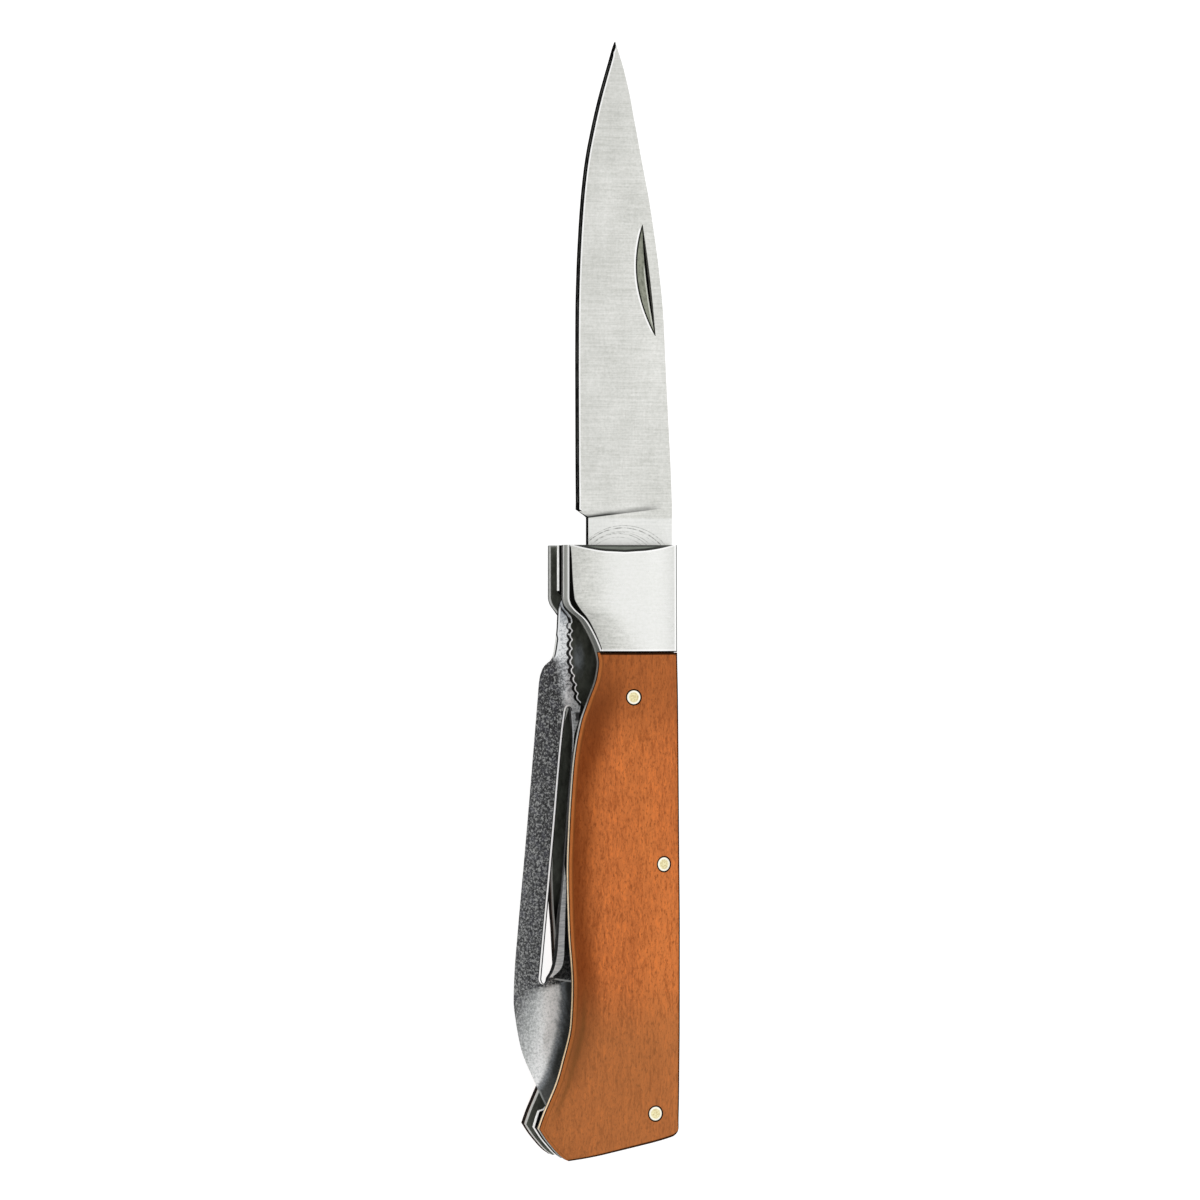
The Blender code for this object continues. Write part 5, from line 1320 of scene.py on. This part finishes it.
# ----------------------------------------------------------------- the peeler
def build_peeler():
    rim, trim = curve(PEELER_RIM), curve(PEELER_TRIM)
    right, crown = curve(PEELER_RIGHT), curve(PEELER_CROWN)
    left_cut, right_cut = curve(SLOT_LEFT), curve(SLOT_RIGHT)
    pu, pv = PEELER_PIVOT

    def top_w(u, v):
        a = max(0.0, u - rim(v))
        peak = crown(v)
        if a < PEELER_RISE:
            w = PEELER_RIM_W + (peak - PEELER_RIM_W) * (1 - (1 - a / PEELER_RISE) ** 1.8)
        else:
            start = rim(v) + PEELER_RISE
            inside = slot_side(v) + 0.4
            span = max(1.0, inside - start)
            s = ease((u - start) / span)
            w = peak - (peak - min(peak, 8.20)) * s
            if u > start + span:
                w -= 0.16 * (u - start - span)
        r = math.hypot(u - pu, v - pv)
        limit = 8.22 + max(0.0, min(1.0, (r - 18.0) / 3.2)) * 1.2
        return min(w, limit)

    def bite(v):
        """How far the scalloped teeth cut in from the tip's inner edge."""
        deepest = 0.0
        for k in range(SERRATIONS):
            d = v - (-4.0 - SERRATION_PITCH * k)
            if abs(d) < SERRATION_R:
                deepest = max(deepest, math.sqrt(SERRATION_R ** 2 - d * d) - 0.30)
        return deepest

    def slot_edges(v):
        """Left and right edge of the slot, or None beyond its round ends."""
        if SLOT_END_V <= v <= SLOT_TOP_V:
            return left_cut(v), right_cut(v)
        if v > SLOT_TOP_V:
            c, half, reach, d = -10.175, 0.495, 0.62, v - SLOT_TOP_V
        else:
            c, half, reach, d = -14.135, 0.585, 0.85, SLOT_END_V - v
        if d >= reach:
            return None
        k = half * math.sqrt(1 - (d / reach) ** 2)
        return c - k, c + k

    def middle(v):
        """Where the columns part when there is no slot."""
        if v > SLOT_TOP_V:
            edge = right(v) - bite(v)
            return min(-10.175, rim(v) + trim(v) + (edge - rim(v) - trim(v)) * 0.62) if v < -12 else \
                rim(v) + trim(v) + (edge - rim(v) - trim(v)) * 0.62
        return -14.135 + ease((-58.25 - v) / 10.0) * 2.4

    end_top, end_low = SLOT_TOP_V + 0.62, SLOT_END_V - 0.85
    vs = [0.0, -0.12, -0.3, -0.6, -0.95, -1.4, -1.9, -2.5, -3.0] + steps(-3.38, -15.6, 108)
    vs += [-15.8, -15.95] + [SLOT_TOP_V + 0.62 * math.cos(math.pi / 2 * k / 12) for k in range(0, 13)]
    vs += steps(-17.2, -57.1, 80) + [SLOT_END_V - 0.85 * math.sin(math.pi / 2 * k / 12) for k in range(0, 13)]
    vs += steps(-58.6, -79.2, 46) + [-79.4, -79.6]
    left_share = (0.0, 0.012, 0.03, 0.055, 0.09, 0.13, 0.18, 0.24, 0.31, 0.39, 0.47, 0.56, 0.65, 0.74, 0.82, 0.89)
    right_share = (0.16, 0.26, 0.37, 0.49, 0.61, 0.72, 0.82, 0.90)
    top, bottom, gap = [], [], []
    for v in vs:
        le, ri = rim(v) + trim(v), right(v) - bite(v)
        cut = slot_edges(v)
        a, b = cut if cut else (middle(v),) * 2
        lines_l = [a - 0.52, a - 0.49, a - 0.41, a - 0.38, a - 0.17, a - 0.14] if v < -14 else \
            [a - (a - le) * s for s in (0.09, 0.075, 0.06, 0.045, 0.03, 0.015)]
        room = a - 0.56 - le if v < -14 else (a - le) * 0.9
        us_l = [le + room * s / 0.89 for s in left_share] + lines_l + [a]
        small = min(1.0, (ri - b) / 0.9)
        teeth = [ri - t * small for t in ((0.74, 0.66, 0.24, 0.19, 0.0) if v > -16.2 else (0.9, 0.6, 0.4, 0.2, 0.0))]
        spread = teeth[0] - b
        us_r = [b, b + min(0.05, 0.08 * spread)] + [b + spread * s for s in right_share] + teeth
        us = us_l + us_r
        ws = [top_w(u, v) for u in us]
        row_t, row_b = [], []
        for k, (u, w) in enumerate(zip(us, ws)):
            x0, x1 = max(0, k - 1), min(len(us) - 1, k + 1)
            du = max(1e-4, us[x1] - us[x0])
            dw = ws[x1] - ws[x0]
            length = math.hypot(du, dw)
            nu, nw = dw / length, -du / length
            if k in (len(us_l) - 1, len(us_l)) and cut:
                nu = 0.0
            row_t.append((u, v, w))
            row_b.append((u + nu * PEELER_SHEET_T, v, max(4.95, w + nw * PEELER_SHEET_T)))
        top.append(row_t)
        bottom.append(row_b)
        gap.append(cut is not None)

    bm = bmesh.new()
    a = [[bm.verts.new(P(*p)) for p in row] for row in top]
    b = [[bm.verts.new(P(*p)) for p in row] for row in bottom]
    rows, cols, seam = len(a), len(a[0]), len(us_l) - 1

    def skin(i, j):
        bm.faces.new((a[i][j], a[i][j + 1], a[i + 1][j + 1], a[i + 1][j]))
        bm.faces.new((b[i][j], b[i + 1][j], b[i + 1][j + 1], b[i][j + 1]))

    for i in range(rows - 1):
        for j in range(cols - 1):
            if j != seam:
                skin(i, j)
        bm.faces.new((a[i][0], a[i + 1][0], b[i + 1][0], b[i][0]))
        bm.faces.new((a[i][-1], b[i][-1], b[i + 1][-1], a[i + 1][-1]))
        if gap[i] or gap[i + 1]:
            bm.faces.new((a[i][seam], b[i][seam], b[i + 1][seam], a[i + 1][seam]))
            bm.faces.new((a[i][seam + 1], a[i + 1][seam + 1], b[i + 1][seam + 1], b[i][seam + 1]))
    for j in range(cols - 1):
        if j != seam:
            bm.faces.new((a[0][j], b[0][j], b[0][j + 1], a[0][j + 1]))
            bm.faces.new((a[-1][j], a[-1][j + 1], b[-1][j + 1], b[-1][j]))
    weld = {}
    for i in range(rows):
        if not gap[i]:
            weld[a[i][seam + 1]] = a[i][seam]
            weld[b[i][seam + 1]] = b[i][seam]
    bmesh.ops.weld_verts(bm, targetmap=weld)
    peeler = mesh_object("seen_peeler", bm, 0.5)

    tang = [(-9.4, -64.2), (-7.6, -62.6), (-5.6, -63.6), (-3.6, -66.2), (-1.6, -69.4),
            (0.6, -72.4), (2.4, -74.2), (3.72, -75.4)]
    tang += [(3.75, -78.0)] + arc(pu, pv, 2.95, -36, -140, 24)
    tang += [(pu - 2.32, pv - 1.0), (pu - 2.32, pv + 0.65), (-2.2, pv + 1.0), (-6.0, pv + 0.95),
             (-9.6, pv + 1.3), (-11.0, pv + 2.4), (-11.0, -72.0), (-10.4, -68.0)]
    block = mesh_object("tool_tang", prism(tang, TANG_W, TANG_W + TANG_T - 0.12))
    carve(peeler, [block], 'UNION')
    hole = column("tool_peeler_hole", PEELER_PIVOT, PIN_HOLE_R, 0, 17)
    carve(peeler, [hole])
    discard(block, hole)

    # ---- finish masks, mostly painted light and shade, in the drawing's own units of a seventh of a millimetre
    def sheet_x(u, w):
        return 6.34 * u - 1.82 * (12.3 - w) + 640

    band = curve([(600, 540), (648, 544), (656, 549), (664, 553), (690, 556), (700, 560), (760, 564), (770, 640), (982, 640), (986, 548), (992, 524), (1010, 509), (1040, 495), (1095, 480)][::-1])
    full = curve([(600, 550), (648, 553), (656, 558), (666, 564), (690, 567), (704, 572), (760, 580), (770, 660), (982, 660), (986, 562), (992, 553), (1010, 549), (1040, 545), (1095, 535)][::-1])
    cut_off = curve([(600, 640), (976, 640), (984, 560.3), (1003, 560.6), (1018, 559.6), (1033, 557), (1051, 552.6), (1070, 547), (1085, 540.6), (1094, 534.5), (1125, 518)][::-1])
    strip = curve([(600, 640), (699, 640), (701, 581), (708, 580.2), (712, 579.6), (722, 578.2), (728, 576.3), (734, 574.6), (745, 572.6), (760, 569), (900, 540)][::-1])
    # those tables have rising keys, so they are read from their far end
    lip_edge = curve([(-40.6, -10.72), (-43.2, -10.50), (-48.5, -10.66), (-51.5, -10.74), (-54.3, -10.86), (-55.4, -11.08), (-56.1, -11.45), (-56.6, -11.95), (-57.0, -12.75)])

    def upper(u, v, w):
        return w > top_w(u, v) - 0.12

    paint(peeler, "upper", lambda u, v, w: 1.0 if upper(u, v, w) else 0.0)
    paint(peeler, "left", lambda u, v, w: u - rim(v) - trim(v))

    # painted light and shade: how far each point is drawn in the bright, lit copy of the sheet rather than its dark,
    # shaded one
    def tone(u, v, w):
        if not upper(u, v, w):
            return 0.25
        x, y = sheet_x(u, w), 600 - 6.6 * v
        lo, hi = band(y), full(y)
        t = ease((x - lo) / max(2.0, hi - lo))
        t *= 0.95
        off = x - cut_off(y)
        soft = 3.0 if y < 1000 else 6.0
        t *= 1 - ease(off / soft + 0.5)
        return t

    def line(u, v, w):
        """+1 on a cut edge, bright steel with a painted highlight; -1 in the painted shade beside it."""
        if not upper(u, v, w):
            return -0.75 if v > -62 else -0.3
        y = 600 - 6.6 * v
        cut = slot_edges(v)
        value = 0.0
        if cut and v < SLOT_TOP_V + 0.01:
            d = cut[0] - u
            if -0.02 <= d <= 0.15:
                value = -1.0
            elif 0.16 < d < 0.395:
                value = 1.0
            elif 0.40 < d < 0.515:
                value = -1.0
            d = u - cut[1]
            if -0.02 <= d and -41 < v < -23:
                value = -0.85 if d < 3 else value
        if v > -16.2:
            d = (right(v) - bite(v)) - u
            if d < 0.215:
                value = 0.35 + 0.65 * ease((-2.6 - v) / 1.0)
            elif d < 0.69 and v < -0.9:
                value = -1.0
        if -57.6 < v < -41 and cut and u > cut[1] + 0.02:
            value = -1.0 + 0.36 * ease((-52.5 - v) / 2.0)
        if -57.6 < v < -40.6 and cut and cut[1] - 0.02 <= u < cut[1] + 0.03:
            value = -1.0
        x = sheet_x(u, w)
        if -18.4 < v < -16.9 and cut and x > 575.3:
            value = -0.8
        return value

    # painted shade on the wall that drops behind the handle
    def drop(u, v, w):
        if not upper(u, v, w):
            return 0.0
        y = 600 - 6.6 * v
        off = sheet_x(u, w) - cut_off(y)
        return ease(0.5 + off / (4.0 if y < 1030 else 7.0)) if y > 983 else 0.0

    paint(peeler, "drop", drop)
    paint(peeler, "deep", lambda u, v, w: ease((sheet_x(u, w) - cut_off(600 - 6.6 * v) - 1.0) / 6.0) if upper(u, v, w) else 1.0)

    def lip(u, v, w):
        if not upper(u, v, w):
            return 0.0
        cut = slot_edges(v)
        return 1.0 if cut and -57.2 < v < -40.6 and cut[1] + 0.03 <= u else 0.0

    def shaded(u, v, w):
        """How far past the border of the painted dark shade strip beside the slot's upper end."""
        cut = slot_edges(v)
        if not -28.5 < v < -14.9 or not upper(u, v, w) or (cut and u < cut[1] - 0.02):
            return -9.0
        return max(-9.0, min(9.0, sheet_x(u, w) - strip(600 - 6.6 * v)))

    paint(peeler, "tone", tone)
    paint(peeler, "line", line)
    paint(peeler, "lip", lip)
    paint(peeler, "past_lip", lambda u, v, w: max(-3.0, min(3.0, u - lip_edge(v))))
    paint(peeler, "shaded", shaded)
    # painted highlight along the bowl's ridge
    paint(peeler, "ridge", lambda u, v, w: ease(1.15 + (sheet_x(u, w) - cut_off(600 - 6.6 * v)) / 26.0) if v < -57.5 else 0.6)

    def part(u, v, w, n):
        return 1 if v < -62 and u > -10.5 and w < 8.25 and (math.hypot(u - pu, v - pv) < 14) else 0
    dress(peeler, [peeler_steel, tang_steel], part)
    settle(peeler, "peeler_blade", "peeler")


mid, front, butt, pivot = build_handle()
build_pins()
build_springs(mid, butt, pivot)
discard(mid, front, butt, pivot)
build_blade()
build_peeler()

# ---------------------------------------------------------- floor, light, lens
floor_mesh = bmesh.new()
size = 3.0
corners = [floor_mesh.verts.new((x * size, y * size, -0.00005)) for x, y in ((-1, -1), (1, -1), (1, 1), (-1, 1))]
floor_mesh.faces.new(corners)
floor = mesh_object("floor", floor_mesh)
f = Finish("floor_paper", 0.9, 0.0)
f.bsdf.inputs['Specular IOR Level'].default_value = 0.0
f.bsdf.inputs['Emission Color'].default_value = (1, 1, 1, 1)
f.bsdf.inputs['Emission Strength'].default_value = 0.90
f.colour(f.mix(f.noise(f.coords(0.02, 0.02, 0.02), 1.0, 2.0), (0.28, 0.28, 0.28), (0.30, 0.30, 0.30)))
dress(floor, [f.mat])

world = bpy.data.worlds.new("studio")
bpy.context.scene.world = world
world.use_nodes = True
tree = world.node_tree
tree.nodes.clear()
out = tree.nodes.new('ShaderNodeOutputWorld')
back = tree.nodes.new('ShaderNodeBackground')
place = tree.nodes.new('ShaderNodeTexCoord')
dot = tree.nodes.new('ShaderNodeVectorMath')
dot.operation = 'DOT_PRODUCT'
dot.inputs[1].default_value = (0.42, 0.05, 0.906)
rampn = tree.nodes.new('ShaderNodeValToRGB')
rampn.color_ramp.interpolation = 'B_SPLINE'
stops = rampn.color_ramp.elements
stops[0].position, stops[0].color = 0.0, (0.62, 0.62, 0.62, 1)
stops[1].position, stops[1].color = 1.0, (1.02, 1.02, 1.02, 1)
mid_stop = stops.new(0.5)
mid_stop.color = (0.89, 0.89, 0.89, 1)
tree.links.new(place.outputs['Generated'], dot.inputs[0])
tree.links.new(dot.outputs['Value'], rampn.inputs[0])
tree.links.new(rampn.outputs[0], back.inputs[0])
tree.links.new(back.outputs[0], out.inputs[0])
back.inputs[1].default_value = 1.0


def softbox(name, at, aim, wide, high, power):
    data = bpy.data.lights.new(name, 'AREA')
    data.shape = 'RECTANGLE'
    data.size, data.size_y = wide, high
    data.energy = power
    lamp = bpy.data.objects.new(name, data)
    lamp.location = at
    lamp.rotation_mode = 'QUATERNION'
    lamp.rotation_quaternion = (Vector(aim) - Vector(at)).to_track_quat('-Z', 'Y')
    bpy.context.scene.collection.objects.link(lamp)


softbox("key", (0.9, 0.15, 1.1), (0, 0, 0), 1.2, 1.4, 0.5)

cam_data = bpy.data.cameras.new("camera")
camera = bpy.data.objects.new("camera", cam_data)
bpy.context.scene.collection.objects.link(camera)
bpy.context.scene.camera = camera
DISTANCE, TILT = 0.80, math.radians(16.0)
target = Vector((-0.000198, 0.0001, 0.0123))
backward = Vector((-math.sin(TILT), 0, math.cos(TILT)))
across = Vector((math.cos(TILT), 0, math.sin(TILT)))
camera.matrix_world = Matrix(((across.x, 0, backward.x, 0), (across.y, 1, backward.y, 0),
                              (across.z, 0, backward.z, 0), (0, 0, 0, 1)))
camera.location = target + backward * DISTANCE
cam_data.sensor_width = 36.0
cam_data.lens = 36.0 * DISTANCE / 0.1818
cam_data.clip_start, cam_data.clip_end = 0.01, 20.0

view = bpy.context.scene.view_settings
view.view_transform = 'Standard'
view.look = 'None'
